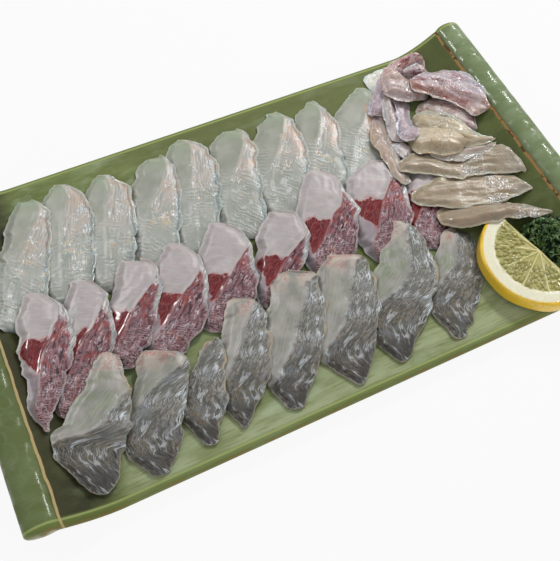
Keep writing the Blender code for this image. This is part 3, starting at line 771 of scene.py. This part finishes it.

# %% [markdown]
# ## The front row: slices with grey skin
#
# Clear grey-green flesh covers the upper left, where the plate's green comes through. Grey-brown skin with
# small scale pockets covers the lower right, and the whole foot. Its glints are painted as silver-blue colour
# and lie in clusters, under a painted silvery sheen on the upper right; its flecks are golden brown, and the
# feet of some slices are nearly black.

# %% Finish of fish with grey skin
def make_grey_fish():
    fish = Recipe("grey_skin_fish")
    share, ridge, rim, mark, right = fish.records("share", "ridge", "rim", "mark", "right")
    cloud = fish.noise(8.0, 3)
    tatter = fish.noise(1.4, 1).thread(0.07) * share.step(0.8, 0.92) * fish.noise(7.0).step(0.5, 0.58)
    flesh = fish.layers(
        fish.mix(cloud.step(0.3, 0.7), (134, 133, 126), (166, 161, 156)),
        (mark * fish.noise(6.0, 2).step(0.35, 0.6) * 0.6, (112, 130, 88)),
        (share.step(0.76, 0.92) * cloud.step(0.35, 0.6), (176, 164, 152)),
        (fish.grain(11, 0.8, 3, 0.6).step(0.5, 0.66) * 0.4, (178, 176, 166)),
        (tatter * 0.7, (168, 84, 82)))

    grit = fish.grain(1.7, 0.8, 4, 0.7, 0.3)
    streak = fish.grain(5, 0.6, 3, 0.65)
    foot = share.step(0.28, 0.08) * fish.noise(14.0, 1).step(0.4, 0.56)
    gold = (share.step(0.12, 0.2) * share.step(0.55, 0.4) * fish.noise(1.3, 2).step(0.5, 0.6)
            * fish.noise(8.0).step(0.46, 0.6))
    skin = fish.layers(
        fish.mix(grit.step(0.4, 0.68), (34, 31, 25), (120, 112, 98)),
        ((share + (cloud * 0.5 - 0.25)).step(0.18, 0.6),
         fish.mix(grit.step(0.36, 0.64), (76, 74, 66), (164, 162, 154))),
        (streak.step(0.5, 0.64) * 0.4, (166, 164, 160)),
        (fish.grain(16, 0.7, 2, 0.6, 0.8).step(0.48, 0.38) * 0.6, (50, 48, 44)),
        (fish.noise(9.0, 2).step(0.54, 0.66) * 0.4, fish.mix(grit, (84, 92, 98), (154, 160, 168))),
        (fish.grain(11, 5.5, 3).step(0.46, 0.62) * 0.6, fish.mix(grit, (44, 46, 38), (104, 106, 92))),
        (foot * 0.8, fish.mix(grit, (28, 26, 22), (90, 86, 82))),
        (gold * 0.4, (134, 110, 72)))

    ragged = fish.noise(3.5, 4, 0.6) * 7.0 - 3.5
    skin_side = (ridge + ragged).step(-1.4, 1.4)
    upper = share.step(0.2, 0.42) * right.step(8.0, 4.0)
    cluster = fish.grain(10, 5, 2).step(0.5, 0.6) * (upper * 0.5 + 0.5)
    # painted sheen: a pale silvery wash on the upper right of the skin
    painted_sheen = upper * fish.grain(6, 1.6, 3, 0.6).step(0.5, 0.64)
    # painted highlights: thin pale glints in clusters
    painted_glint = fish.grain(4.32, 1.08, 1).thread(0.1) * cluster * (ridge + ragged).step(-2.5, -0.5)
    stripe = (right.step(2.0, 1.0) * share.step(0.44, 0.55) * share.step(0.9, 0.8)
              * fish.noise(9.0, 1).step(0.42, 0.55))
    colour = fish.layers(
        flesh,
        (skin_side, skin),
        (painted_sheen * 0.4, (186, 186, 186)),
        (painted_glint, (222, 226, 230)),
        (stripe * 0.6, (188, 160, 128)),
        (rim.step(0.9, 0.2) * 0.5, (176, 170, 148)))
    relief = grit * skin_side + streak * skin_side * 0.6 + painted_glint * 0.8
    return fish.finish(colour, skin_side * -0.24 + 0.44, relief, depth=0.6, under=0.5, radius=2.5)


GREY_FISH = make_grey_fish()

# %% [markdown]
# ## Laying the rows
#
# Each slice is surveyed from its own solid and given a skin. A short table says where its ridge runs and
# where its own marks lie, since no two slices are alike: the peach stripe of a white one, the wedge of a red
# one, and how much of the plate's green shows through a grey one. Shares run from 0 at the foot to 1 at the
# tip, and places across from -1 at the left side to 1 at the right.

# %% Lay the three rows
def bell(value, middle, width):
    return np.exp(-(((value - middle) / width) ** 2))


def lay_slice(node, ridge, relief, mark, material, slot):
    found = survey(node, ridge, SLICE_ROWS, SLICE_COLUMNS)
    skin(f"{node}_flesh", node, found, relief(found), material, slot, mark(found))


def white_relief(found):
    drift = 2.0 * lattice_noise(found.spots[..., 0] / 6, found.spots[..., 1] / 6, 3)
    turns = (found.run + RIPPLE_BOW * found.ridge**2 + RIPPLE_SLOPE * found.ridge + drift) / RIPPLE_PITCH
    ripple = 0.05 * np.sin(2 * np.pi * turns) * soft_step(found.share, 0.64, 0.5)
    lumps = 0.3 * found.bumps(7, 5)
    return ripple + lumps + 0.5 * bell(found.ridge, 0, 1.3) - 0.5 * soft_step(found.ridge, 0, 5)


def red_relief(found):
    lumps = 0.5 * found.bumps(5, 3.5)
    pebbles = 0.16 * found.bumps(1.8, 1.5, 1) * (found.ridge > 0)
    return lumps + pebbles + 0.6 * bell(found.ridge, 0.2, 0.9) - 0.4 * bell(found.ridge, -2.2, 1.4)


def grey_relief(found):
    lumps = 0.35 * found.bumps(8, 4)
    pleats = 0.12 * found.bumps(7, 1.1, 1) * (found.ridge > -2)
    return lumps + pleats + 0.4 * bell(found.ridge, 0, 1.3)


SLICE_ROWS, SLICE_COLUMNS = 110, 44

WHITE_RIDGE = ((0, -0.5), (0.45, -0.15), (0.75, 0.2), (1, 0.6))
PEACH = [  # from and to along the slice, and how wide the stripe is
    (0.60, 0.86, 3.0), (0.66, 0.92, 3.0), (0.62, 0.94, 3.5), (0.64, 0.84, 2.5), (0.60, 0.86, 3.0),
    (0.58, 0.90, 4.0), (0.50, 0.86, 6.0), (0.44, 0.86, 5.0), (0.30, 0.82, 13.0)]
for number, (low, high, width) in enumerate(PEACH, 1):
    def peach(found):
        return (soft_step(found.share, low - 0.05, low + 0.05) * soft_step(found.share, high + 0.03, high - 0.05)
                * soft_step(found.right, width + 1, width - 1) * soft_step(found.right, 0.1, 0.8))
    lay_slice(f"back_slice_{number}", WHITE_RIDGE, white_relief, peach, WHITE_FISH, "white_fish")

RED_RIDGE = np.array([(0, -0.6), (0.1, -0.4), (0.28, 0.05), (0.55, 0.35), (0.75, 0.75), (0.88, 1)])
WEDGE = [  # how far the ridge is moved, the wedge's left end across, and its bottom and top along
    (-0.22, -0.66, 0.38, 0.63), (-0.14, -0.12, 0.30, 0.62), (-0.14, -0.60, 0.17, 0.49), (0.0, -0.60, 0.27, 0.55),
    (0.0, -0.60, 0.25, 0.49), (0.08, -0.75, 0.20, 0.49), (0.0, -0.75, 0.18, 0.49), (-0.30, -0.95, 0.29, 0.57),
    (-0.55, -1.3, 0.20, 0.60)]
for number, (moved, left_end, bottom, top) in enumerate(WEDGE, 1):
    def wedge(found):
        share = found.share + 0.035 * found.bumps(3, 3, 4, 3)
        level = soft_step(share, bottom - 0.05, bottom + 0.06) * soft_step(share, top + 0.035, top - 0.04)
        reach = -left_end * 14 * soft_step(found.share, bottom, top - 0.06) + 2.5
        return level * soft_step(-found.ridge, reach + 1.6, reach - 1.8)
    ridge = [(share, max(-1.0, min(1.0, across + moved))) for share, across in RED_RIDGE]
    lay_slice(f"middle_slice_{number}", ridge, red_relief, wedge, RED_FISH, "red_fish")

SKIN_FROM = [  # the skin's border
    ((0.30, -1), (0.35, -0.71), (0.38, -0.42), (0.46, 0), (0.55, 0.22), (0.64, 0.52), (0.78, 1)),
    ((0.32, -1), (0.47, -0.75), (0.57, -0.5), (0.67, 0.05), (0.80, 0.68), (0.9, 1)),
    ((0.45, -1), (0.75, -0.9), (0.9, -0.4), (1, 0.3)),
    ((0.26, -1), (0.39, -0.43), (0.54, 0), (0.82, 0.43), (0.95, 0.9)),
    ((0.15, -1), (0.22, -0.47), (0.39, 0), (0.58, 0.21), (0.88, 0.6), (0.97, 1)),
    ((0.18, -1), (0.30, -0.5), (0.42, -0.1), (0.60, 0.2), (0.88, 0.55), (0.97, 1)),
    ((0.20, -1), (0.36, -0.6), (0.5, -0.05), (0.64, 0.25), (0.9, 0.1), (1, 0.1)),
    ((0.28, -1), (0.48, -0.6), (0.64, 0.0), (0.84, 0.15), (1, 0.2))]
CLEAR = (0.8, 0.5, 0.1, 0.1, 0.2, 0.35, 1.0, 1.0)  # how much green comes through
for number, (ridge, green) in enumerate(zip(SKIN_FROM, CLEAR), 1):
    def clear(found):
        return green * bell(found.share, 0.66, 0.24) * soft_step(-found.ridge, 0, 3)
    lay_slice(f"front_slice_{number}", ridge, grey_relief, clear, GREY_FISH, "grey_skin_fish")
print(len(PEACH), len(WEDGE), len(CLEAR), "slices in the three rows")

# %% [markdown]
# ## The heap: fin muscle and skin
#
# The pieces at the right-hand end are the chewy muscle along the fins, which is beige with pale rims and
# sparkling pits, and folded strips of skin and belly in lavender, tan and dark red. One recipe serves them
# all: three colours across the piece, one for its tip and one for its rim, pits where it is wet, with painted
# highlights for their sparkle, and, where skin or belly has them, a dark red fold whose darkness is partly
# painted shade, or dark red veins. The fins and the wings run out to points.

# %% Finish of the heap
class Tone(NamedTuple):
    left: tuple
    middle: tuple
    right: tuple
    tip: tuple
    rim: tuple
    grain: float = 0.3  # how granular it is
    painted_sparkle: tuple = (0.5, 0.3, 0.0)  # where along it the painted wet sparkle lies, over what length, and how much
    red_fold_and_shade: tuple = ()  # a dark red fold, its darkness partly painted shade: from and to along, where across, how wide
    veins: float = 0.0  # how much dark red is streaked along it


def make_heap_flesh(name, tone):
    flesh = Recipe(name)
    share, across, rim = flesh.records("share", "across", "rim")
    blur = flesh.noise(5.0, 4, 0.6) * 0.5 - 0.25
    fibre = flesh.grain(10, 0.7, 3, 0.6)
    grit = flesh.cells(1.1)
    colour = flesh.ramp(across + blur, (0.1, tone.left), (0.5, tone.middle), (0.9, tone.right))
    colour = flesh.mix((share + blur * 0.4).step(0.74, 1.0), colour, tone.tip)
    dark, light = flesh.mix(0.25, colour, (116, 90, 72)), flesh.mix(0.3, colour, (216, 206, 198))
    coats = [(fibre.step(0.56, 0.4) * 0.3, dark),
             (flesh.noise(4.0, 3).step(0.52, 0.68) * 0.5, light),
             (grit.step(0.3, 0.75) * tone.grain, dark),
             (grit.step(0.22, 0.05) * tone.grain, light)]
    # a dark red fold, its darkness partly painted shade in the crease
    if tone.red_fold_and_shade:
        low, high, at, half = tone.red_fold_and_shade
        off = abs(across + blur * 0.35 - at)
        red_fold_and_shade = (off.step(half, half * 0.35) * share.step(low - 0.05, low + 0.05)
                  * share.step(high + 0.05, high - 0.05))
        coats += [(red_fold_and_shade * 0.85, (104, 38, 42))]
    if tone.veins:
        vein = flesh.grain(11.2, 2.08, 2).thread(0.09) * flesh.noise(6.0, 2).step(0.48, 0.6)
        coats += [(vein * tone.veins, (134, 58, 64)),
                  (flesh.grain(8, 3, 3).step(0.52, 0.66) * 0.6, (206, 192, 194))]
    at, length, amount = tone.painted_sparkle
    wet = abs(share - at).step(length, length * 0.5) * flesh.noise(5.0).step(0.42, 0.58)
    coats += [(rim.step(1.4, 0.1) * 0.8, tone.rim),
              # painted highlights: pale threads of wet sparkle
              (flesh.noise(1.0, 1).thread(0.08) * wet * amount, (232, 230, 232))]
    relief = fibre * 0.4 + grit * tone.grain + wet * grit
    return flesh.finish(flesh.layers(colour, *coats), wet * -0.14 + 0.32, relief, depth=0.45, coat=0.5, under=0.7,
                        radius=3.5)


BEIGE, PALE, GREY = (152, 134, 110), (186, 174, 154), (180, 172, 175)
HEAP = {
    "strip_left": Tone((168, 146, 130), (164, 150, 138), (154, 142, 140), (158, 144, 150), PALE, 0.2),
    "fin_front": Tone(BEIGE, (154, 138, 116), BEIGE, (178, 172, 160), (178, 166, 144), 0.25, (0.78, 0.2, 0.9)),
    "fin_middle": Tone((152, 138, 112), (152, 135, 110), (156, 142, 118), (176, 170, 156), PALE, 0.25,
                       (0.74, 0.16, 0.9)),
    "fin_back": Tone((158, 144, 122), (152, 138, 116), (160, 146, 122), (164, 156, 142), PALE, 0.35,
                     (0.6, 0.14, 0.8)),
    "crest_scrap": Tone((226, 224, 216), (220, 216, 206), (204, 194, 186), (186, 166, 158), (228, 226, 220), 0.15),
    "crest_back": Tone((192, 162, 154), (178, 140, 134), (172, 130, 126), (172, 150, 148), (200, 174, 166), 0.4,
                       (0.5, 0.3, 0.0), (0.35, 0.95, 0.52, 0.08), veins=0.85),
    "crest_fold": Tone(GREY, (180, 168, 172), (154, 126, 128), (186, 178, 182), (194, 184, 186), 0.6, veins=0.7),
    "shred_left": Tone((182, 174, 172), (196, 190, 188), (176, 166, 162), (174, 162, 156), (206, 200, 196), 0.5,
                       (0.5, 0.5, 0.8), veins=0.25),
    # the lower wing's dark red left colour is partly painted shade under the upper wing
    "wing_lower": Tone((112, 52, 50), (180, 166, 160), (184, 174, 156), (172, 158, 162), (200, 188, 182), 0.25,
                       (0.4, 0.3, 0.3), (0.25, 0.97, 0.06, 0.1), veins=0.6),
    "flap": Tone((180, 168, 156), (184, 172, 162), (176, 162, 150), (172, 162, 146), (196, 186, 174), 0.3,
                 (0.4, 0.25, 0.7)),
    "band": Tone((188, 178, 154), (176, 162, 136), (162, 144, 120), (174, 164, 144), (192, 180, 154), 0.3,
                 (0.35, 0.2, 0.3)),
    "bulge": Tone((190, 176, 148), (198, 184, 160), (184, 166, 138), (182, 166, 140), (172, 148, 122), 0.15),
    "lobe_left": Tone((176, 156, 168), (178, 160, 170), (170, 144, 148), (180, 142, 136), (192, 176, 180), 0.6,
                      (0.2, 0.2, 0.5), veins=0.45),
    "ribbon_left": Tone((168, 158, 156), (180, 170, 168), (160, 144, 148), (178, 168, 164), (192, 182, 180), 0.2),
    "ribbon_right": Tone((162, 146, 156), (180, 164, 172), (174, 160, 166), (182, 170, 168), (192, 178, 182), 0.25,
                         (0.2, 0.2, 0.3), veins=0.2),
    "dome": Tone((180, 150, 140), (174, 156, 148), (170, 152, 150), (164, 134, 134), (174, 148, 142), 0.15,
                 veins=0.25),
    "wing_upper": Tone((184, 174, 182), (184, 168, 172), (148, 96, 84), (172, 154, 136), (200, 184, 176), 0.25,
                       (0.45, 0.3, 0.3), (0.05, 0.42, 0.5, 0.07), veins=0.75),
}
HEAP_ROWS, HEAP_COLUMNS = 96, 48
POINTED = {  # over what length the tip runs out to a point
    "fin_front": 12.0, "fin_middle": 16.0, "fin_back": 14.0, "wing_upper": 9.0, "wing_lower": 9.0}


def heap_relief(found):
    folds = 1.3 * found.bumps(16, 3.4) * soft_step(found.rim, 0, 2.5)
    fibres = 0.12 * found.bumps(9, 1.2, 1)
    lumps = 0.3 * found.bumps(3.5, 3.0, 2)
    return folds + fibres + lumps


for node, tone in HEAP.items():
    found = survey(node, ((0, 0), (1, 0)), HEAP_ROWS, HEAP_COLUMNS, wobble=1.4, grow=1.6,
                   point=POINTED.get(node, 3.0))
    skin(f"{node}_flesh", node, found, heap_relief(found), make_heap_flesh(f"flesh_of_{node}", tone),
         "fin_muscle", edge=0.3, taper=4.5)
print("heap:", len(HEAP), "pieces")

# %% [markdown]
# ## The parsley
#
# A tuft of curly parsley is hundreds of small ruffled leaflets around a middle that lies deep in shade. The
# CAD solid is one lump that fills the same room. Here a smaller copy of it, almost black green, stays as the
# middle: that dark colour is painted shade. Geometry Nodes stand one curled leaflet, repeated, on the lump's
# surface. The leaflet is a fan whose edge waves up and down, closed like a thin sheet, with a record of how
# near each point is to the frilled edge, so that each leaflet can be painted darker towards its stalk, as
# shade, and lighter green at its frilled edge, with painted highlights there.

# %% One curled leaflet
LEAF_LONG, LEAF_WIDE, LEAF_THICK = 4.0, 4.8, 0.16
LEAF_SPANS, LEAF_STEPS = 8, 3


def make_leaflet(name):
    """A ruffled fan, closed, that grows along +Z from its stalk at the origin."""
    shape = bmesh.new()

    def point(side, i, j):
        reach, turn = 0.12 + 0.88 * i / LEAF_STEPS, (j / LEAF_SPANS - 0.5) * 2.3
        lift = (0.34 * math.sin(5.2 * turn + 0.8) + 0.28) * reach**2 * LEAF_LONG
        return shape.verts.new((reach * LEAF_WIDE * 0.62 * math.sin(turn) * MM, (lift + side * LEAF_THICK / 2) * MM,
                                reach * LEAF_LONG * math.cos(turn * 0.72) * MM))

    front, back = ([[point(side, i, j) for j in range(LEAF_SPANS + 1)] for i in range(LEAF_STEPS + 1)]
                   for side in (1, -1))
    bridge(shape, front, 1)
    bridge(shape, back, 1)
    outline = [(0, j) for j in range(LEAF_SPANS)] + [(i, LEAF_SPANS) for i in range(LEAF_STEPS)]
    outline += [(LEAF_STEPS, j) for j in range(LEAF_SPANS, 0, -1)] + [(i, 0) for i in range(LEAF_STEPS, 0, -1)]
    bridge(shape, [[sheet[i][j] for i, j in outline] for sheet in (front, back)])
    mesh = mesh_of(name, shape)
    record(mesh, "frill", [min(1.0, max(0.0, v.co.z / MM / LEAF_LONG)) for v in mesh.vertices])
    return show(name, mesh)


leaflet = make_leaflet("leaflet")
print("leaflet:", len(leaflet.data.polygons), "faces")

# %% Greens
def make_parsley_leaf():
    leaf = Recipe("parsley_leaf")
    frill, = leaf.records("frill")
    # painted highlights: pale green patches on the frilled edges
    painted_highlight = frill.step(0.6, 0.95) * leaf.noise(5.0, 3).step(0.44, 0.6)
    # painted shade: darker green towards the stalk, deep in the tuft
    colour = leaf.layers(leaf.mix(frill.step(0.3, 1.0), (16, 36, 16), (58, 92, 42)),
                         (painted_highlight * 0.7, (126, 158, 92)))
    return leaf.finish(colour, 0.42, under=0.1, radius=0.5)


# painted shade: the near-black middle of the tuft stands for the shade inside it
def make_parsley_painted_shade():
    dark = Recipe("parsley_shade")
    patch = dark.noise(1.6, 3)
    return dark.finish(dark.mix(patch, (8, 20, 10), (24, 48, 22)), 0.7, patch, depth=0.6)


PARSLEY_LEAF, PARSLEY_PAINTED_SHADE = make_parsley_leaf(), make_parsley_painted_shade()

# %% A node tree that scatters copies of one shape over a bed
INPUTS = {"Surface": "Geometry", "Piece": "Object", "Per square metre": "Float", "Apart": "Float",
          "Least turn": "Vector", "Most turn": "Vector", "Smallest": "Float", "Largest": "Float", "Seed": "Int"}


def scatter(name, bed, piece, material, **given):
    """Copies of a piece all over a bed, as one plain mesh. The bed and the piece are used up.

    Where the copies are kept apart, each lies on the bed and points away from the origin. Otherwise it stands
    up from the bed.
    """
    tree = bpy.data.node_groups.new(name, "GeometryNodeTree")
    sockets = {label: tree.interface.new_socket(label, in_out="INPUT", socket_type=f"NodeSocket{kind}")
               for label, kind in INPUTS.items()}
    tree.interface.new_socket("Geometry", in_out="OUTPUT", socket_type="NodeSocketGeometry")
    start = tree.nodes.new("NodeGroupInput").outputs
    laid = "Apart" in given
    thick = ({"Distance Min": start["Apart"], "Density Max": start["Per square metre"]} if laid
             else {"Density": start["Per square metre"]})
    spots = add_node(tree, "GeometryNodeDistributePointsOnFaces", {
        "Mesh": start["Surface"], "Seed": start["Seed"], **thick},
        distribute_method="POISSON" if laid else "RANDOM").outputs
    if laid:
        away = add_node(tree, "GeometryNodeInputPosition").outputs[0]
        turned = add_node(tree, "FunctionNodeAlignRotationToVector", {"Vector": away}, axis="X", pivot_axis="Z")
    else:
        turned = add_node(tree, "FunctionNodeAlignRotationToVector", {"Vector": spots["Normal"]}, axis="Z")
    leaning = add_node(tree, "FunctionNodeRandomValue", {
        0: start["Least turn"], 1: start["Most turn"], "Seed": start["Seed"]}, data_type="FLOAT_VECTOR")
    turned = add_node(tree, "FunctionNodeRotateRotation", {
        "Rotation": turned.outputs[0], "Rotate By": leaning.outputs[0]}, rotation_space="LOCAL")
    size = add_node(tree, "FunctionNodeRandomValue", {
        2: start["Smallest"], 3: start["Largest"], "Seed": start["Seed"]}, data_type="FLOAT")
    shape = add_node(tree, "GeometryNodeObjectInfo", {"Object": start["Piece"]})
    copies = add_node(tree, "GeometryNodeInstanceOnPoints", {
        "Points": spots["Points"], "Instance": shape.outputs["Geometry"],
        "Rotation": turned.outputs[0], "Scale": size.outputs[1]})
    real = add_node(tree, "GeometryNodeRealizeInstances", {"Geometry": copies.outputs[0]})
    dressed = add_node(tree, "GeometryNodeSetMaterial", {"Geometry": real.outputs[0], "Material": material})
    tree.links.new(dressed.outputs[0], tree.nodes.new("NodeGroupOutput").inputs[0])

    modifier = bed.modifiers.new(name, "NODES")
    modifier.node_group = tree
    for label, value in {"Piece": piece, **given}.items():
        modifier[sockets[label].identifier] = value
    mesh = bpy.data.meshes.new_from_object(bed.evaluated_get(bpy.context.evaluated_depsgraph_get()))
    for helper in (bed, piece):
        bpy.data.objects.remove(helper)
    return mesh

# %% Grow the parsley
LUMP_SHARE, LUMP_DROP, BED_GROWTH = 0.80, 0.86, 0.04
LEAF_CLEARANCE = 0.3  # above the plate's floor
LEAF_LEAN = 0.75


def lump_mesh(name, share, material=None):
    """A merged copy of the CAD lump, shrunk about the middle of its foot."""
    shape = bmesh.new()
    shape.from_mesh(frame["nodes"]["parsley"].data)
    bmesh.ops.remove_doubles(shape, verts=shape.verts, dist=1e-6)
    low = min(v.co.z for v in shape.verts)
    corners = [[f(v.co[axis] for v in shape.verts) for f in (min, max)] for axis in (0, 1)]
    middle = Vector((sum(corners[0]) / 2, sum(corners[1]) / 2, low))
    for vertex in shape.verts:
        off = vertex.co - middle
        vertex.co = middle + Vector((off.x * share, off.y * share, off.z * LUMP_DROP))
    return mesh_of(name, shape, material, smooth=False)


# the dark core, painted shade inside the tuft
add_piece("parsley_core", lump_mesh("parsley_core", LUMP_SHARE, PARSLEY_PAINTED_SHADE), "parsley_leaf", "parsley")
leaf_mesh = scatter("leaves_on_a_lump", show("leaf_bed", lump_mesh("leaf_bed", LUMP_SHARE + BED_GROWTH)), leaflet,
                    PARSLEY_LEAF, **{"Per square metre": 420000.0, "Smallest": 0.5, "Largest": 1.1, "Seed": 5,
                                     "Least turn": (-LEAF_LEAN, -LEAF_LEAN, -math.pi),
                                     "Most turn": (LEAF_LEAN, LEAF_LEAN, math.pi)})
floor_level = (FLOOR_Z + LEAF_CLEARANCE) * MM
for vertex in leaf_mesh.vertices:
    vertex.co.z = max(vertex.co.z, floor_level)
leaves = add_piece("parsley_leaves", leaf_mesh, "parsley_leaf", "parsley")
print("parsley:", len(leaf_mesh.polygons), "faces of leaf,", [round(d / MM, 1) for d in leaves.dimensions], "mm")

# %% [markdown]
# ## The lemon
#
# Half a round slice, cut side to the right. Its outline is turned from one profile: a flat face, a rounded
# rim of rind, a wall, and the same below. The segments are sunk a little between their membranes. The juice
# sacs are drops that repeat in their hundreds and all point away from the hub, so Geometry Nodes scatter one
# drop over a bed of the segments' shape.

# %% Lemon body
LEMON_RADIUS, LEMON_THICK, LEMON_ROUND = 30.0, 9.0, 1.6
LEMON_CENTRE, LEMON_TURN, LEMON_TILT = (115.2, -62.0), 15.0, -2.6
PITH_TO, FLESH_TO = 28.6, 23.0
MEMBRANES = (98, 131, 166, 199, 232, 262)  # degrees about the hub, from the cut side's upper end round to its lower
LEMON_STEPS = 180


def lemon_pose():
    """Where the lemon lies: its turn is known, and its height is read from the CAD solid's upper face."""
    turned = Euler((0, math.radians(LEMON_TILT), math.radians(LEMON_TURN))).to_matrix()
    up = turned @ Vector((0, 0, 1))
    centre = Vector((*LEMON_CENTRE, 0)) * MM
    highest = max((v.co - centre).dot(up) for v in frame["nodes"]["lemon"].data.vertices)
    centre.z = (highest - LEMON_THICK / 2 * MM) / up.z
    pose = turned.to_4x4()
    pose.translation = centre
    return pose


def nearest_membrane(angle):
    return min(abs(angle - m) for m in MEMBRANES)


def lemon_face_height(radius, angle):
    """How far the cut face stands above flat: level along the membranes, sunken where the sacs lie."""
    if radius > FLESH_TO + 0.5:
        return 0.0
    apart = math.radians(nearest_membrane(angle)) * radius
    swell = 1 - math.exp(-((apart / 0.55) ** 2))
    inside = min(1.0, (FLESH_TO + 0.5 - radius) / 1.5)
    return (0.1 - 0.5 * swell) * inside


def make_lemon_body():
    round_off = np.radians(np.linspace(90, 0, 7))
    rim = [(LEMON_RADIUS - LEMON_ROUND + LEMON_ROUND * math.cos(a),
            LEMON_THICK / 2 - LEMON_ROUND + LEMON_ROUND * math.sin(a)) for a in round_off]
    flat = [(r, LEMON_THICK / 2) for r in np.linspace(0, LEMON_RADIUS - LEMON_ROUND, 60)[:-1]]
    wall = [(LEMON_RADIUS, z) for z in np.linspace(LEMON_THICK / 2 - LEMON_ROUND, 0, 5)[1:]]
    upper = flat + rim + wall
    profile = upper + [(r, -z) for r, z in reversed(upper[:-1])]
    shape = bmesh.new()
    fans = []
    for angle in np.linspace(90, 270, LEMON_STEPS + 1):
        a = math.radians(angle)
        line = []
        for number, (r, z) in enumerate(profile):
            lift = lemon_face_height(r, angle) if number < len(flat) else 0.0
            uneven = 1 + 0.012 * math.sin(3 * a + 1) + 0.006 * math.sin(8 * a)
            line.append(shape.verts.new((r * uneven * math.cos(a) * MM, r * uneven * math.sin(a) * MM,
                                         (z + lift) * MM)))
        fans.append(line)
    bridge(shape, fans, 1)
    bmesh.ops.remove_doubles(shape, verts=shape.verts, dist=1e-6)
    edges = [e for e in shape.edges if e.is_boundary]
    bmesh.ops.edgeloop_fill(shape, edges=edges)
    return shape

# %% Lemon finish
RIND_RECORD = 1.6  # added to the reach on the wall, so that it counts as rind there


def make_lemon_skin():
    lemon = Recipe("lemon_rind")
    reach, apart = lemon.records("reach", "apart")
    pulp = lemon.mix(lemon.noise(3.0, 3), (156, 148, 72), (176, 168, 98))
    pith = lemon.mix(lemon.noise(2.0, 3), (216, 211, 178), (228, 224, 202))
    rind = lemon.mix(lemon.noise(5.0, 3), (226, 182, 30), (238, 200, 60))
    ragged = reach + (lemon.noise(3.0, 3) * 1.6 - 0.8)
    on_rind = reach.step(PITH_TO - 0.5, PITH_TO + 0.5)
    colour = lemon.layers(
        pulp,
        (apart.step(0.5, 0.25) * 0.85, (206, 198, 140)),
        (ragged.step(FLESH_TO - 0.4, FLESH_TO + 0.6), pith),
        (on_rind, rind))
    relief = lemon.mix(on_rind, lemon.noise(0.8, 2), lemon.cells(1.1).step(0.2, 0.5))
    return lemon.finish(colour, 0.34, relief, depth=0.2, coat=0.2, under=0.25, radius=2.0)


lemon_shape = make_lemon_body()
pose = lemon_pose()
reaches, gaps = [], []
for vertex in lemon_shape.verts:
    x, y, z = vertex.co / MM
    radius, angle = math.hypot(x, y), math.degrees(math.atan2(y, x)) % 360
    reaches.append(radius + (RIND_RECORD if z < LEMON_THICK / 2 - LEMON_ROUND and radius > 28 else 0))
    gaps.append(math.radians(nearest_membrane(angle)) * radius)
lemon_shape.transform(pose)
lemon = add_piece("lemon_half_slice", mesh_of("lemon_half_slice", lemon_shape, make_lemon_skin()), "lemon_rind",
                  "lemon")
record(lemon.data, "reach", reaches)
record(lemon.data, "apart", gaps)
print("lemon:", len(lemon.data.polygons), "faces, its centre at", [round(v / MM, 1) for v in pose.translation])

# %% Juice sacs of the lemon
SAC_LONG, SAC_WIDE = 4.8, 3.0
SAC_RINGS = ((0.16, 0.42), (0.42, 0.86), (0.68, 1.0), (0.9, 0.62))  # how far along and how wide
BED_RINGS = (2.6, 6.0, 10.0, 14.0, 17.5, FLESH_TO - SAC_LONG * 0.8)
BED_ENDS, BED_STEP, BED_CLEAR, BED_SUNK = (91.5, 268.5), 3.0, 0.5, 0.8


def make_sac(name):
    """A drop that lies along X, with its thin end at the origin."""
    shape = bmesh.new()
    rings = [[shape.verts.new((share * SAC_LONG * MM, wide * SAC_WIDE / 2 * math.cos(a) * MM,
                               wide * SAC_WIDE / 2 * math.sin(a) * MM)) for a in np.radians(range(0, 360, 60))]
             for share, wide in SAC_RINGS]
    bridge(shape, rings)
    for ring, x in ((rings[0], 0.0), (rings[-1], SAC_LONG)):
        end = shape.verts.new((x * MM, 0, 0))
        for i in range(len(ring)):
            shape.faces.new((ring[i], ring[i - 1], end))
    return show(name, mesh_of(name, shape))


def sac_bed(name):
    """Flat wedges between the membranes, just under the cut face, stopping short of the pith."""
    shape = bmesh.new()
    edges = (BED_ENDS[0], *MEMBRANES, BED_ENDS[1])
    for first, last in zip(edges, edges[1:]):
        count = max(1, round((last - first) / BED_STEP))
        lines = []
        for radius in BED_RINGS:
            margin = math.degrees(BED_CLEAR / radius)
            if last - first < 3 * margin:
                continue
            lines.append([shape.verts.new((radius * math.cos(a) * MM, radius * math.sin(a) * MM,
                                           (LEMON_THICK / 2 - BED_SUNK) * MM))
                          for a in np.radians(np.linspace(first + margin, last - margin, count + 1))])
        for near, far in zip(lines, lines[1:]):
            for i in range(count):
                shape.faces.new((near[i], far[i], far[i + 1], near[i + 1]))
    mesh = bpy.data.meshes.new(name)
    shape.to_mesh(mesh)
    shape.free()
    return show(name, mesh)


def make_sac_flesh():
    flesh = Recipe("lemon_juice")
    colour = flesh.mix(flesh.noise(3.5, 3).step(0.3, 0.7), (144, 136, 62), (168, 160, 90))
    return flesh.finish(colour, 0.16, coat=0.8, under=0.5, radius=3.0)


sac_mesh = scatter("juice_sacs", sac_bed("sac_bed"), make_sac("sac"), make_sac_flesh(), **{
    "Per square metre": 9.0e5, "Apart": 0.0013, "Smallest": 0.7, "Largest": 1.1, "Seed": 3,
    "Least turn": (-0.5, -0.06, -0.2), "Most turn": (0.5, 0.10, 0.2)})
sac_mesh.transform(pose)
add_piece("lemon_juice_sacs", sac_mesh, "lemon_rind", "lemon")
print("juice sacs:", len(sac_mesh.polygons), "faces")
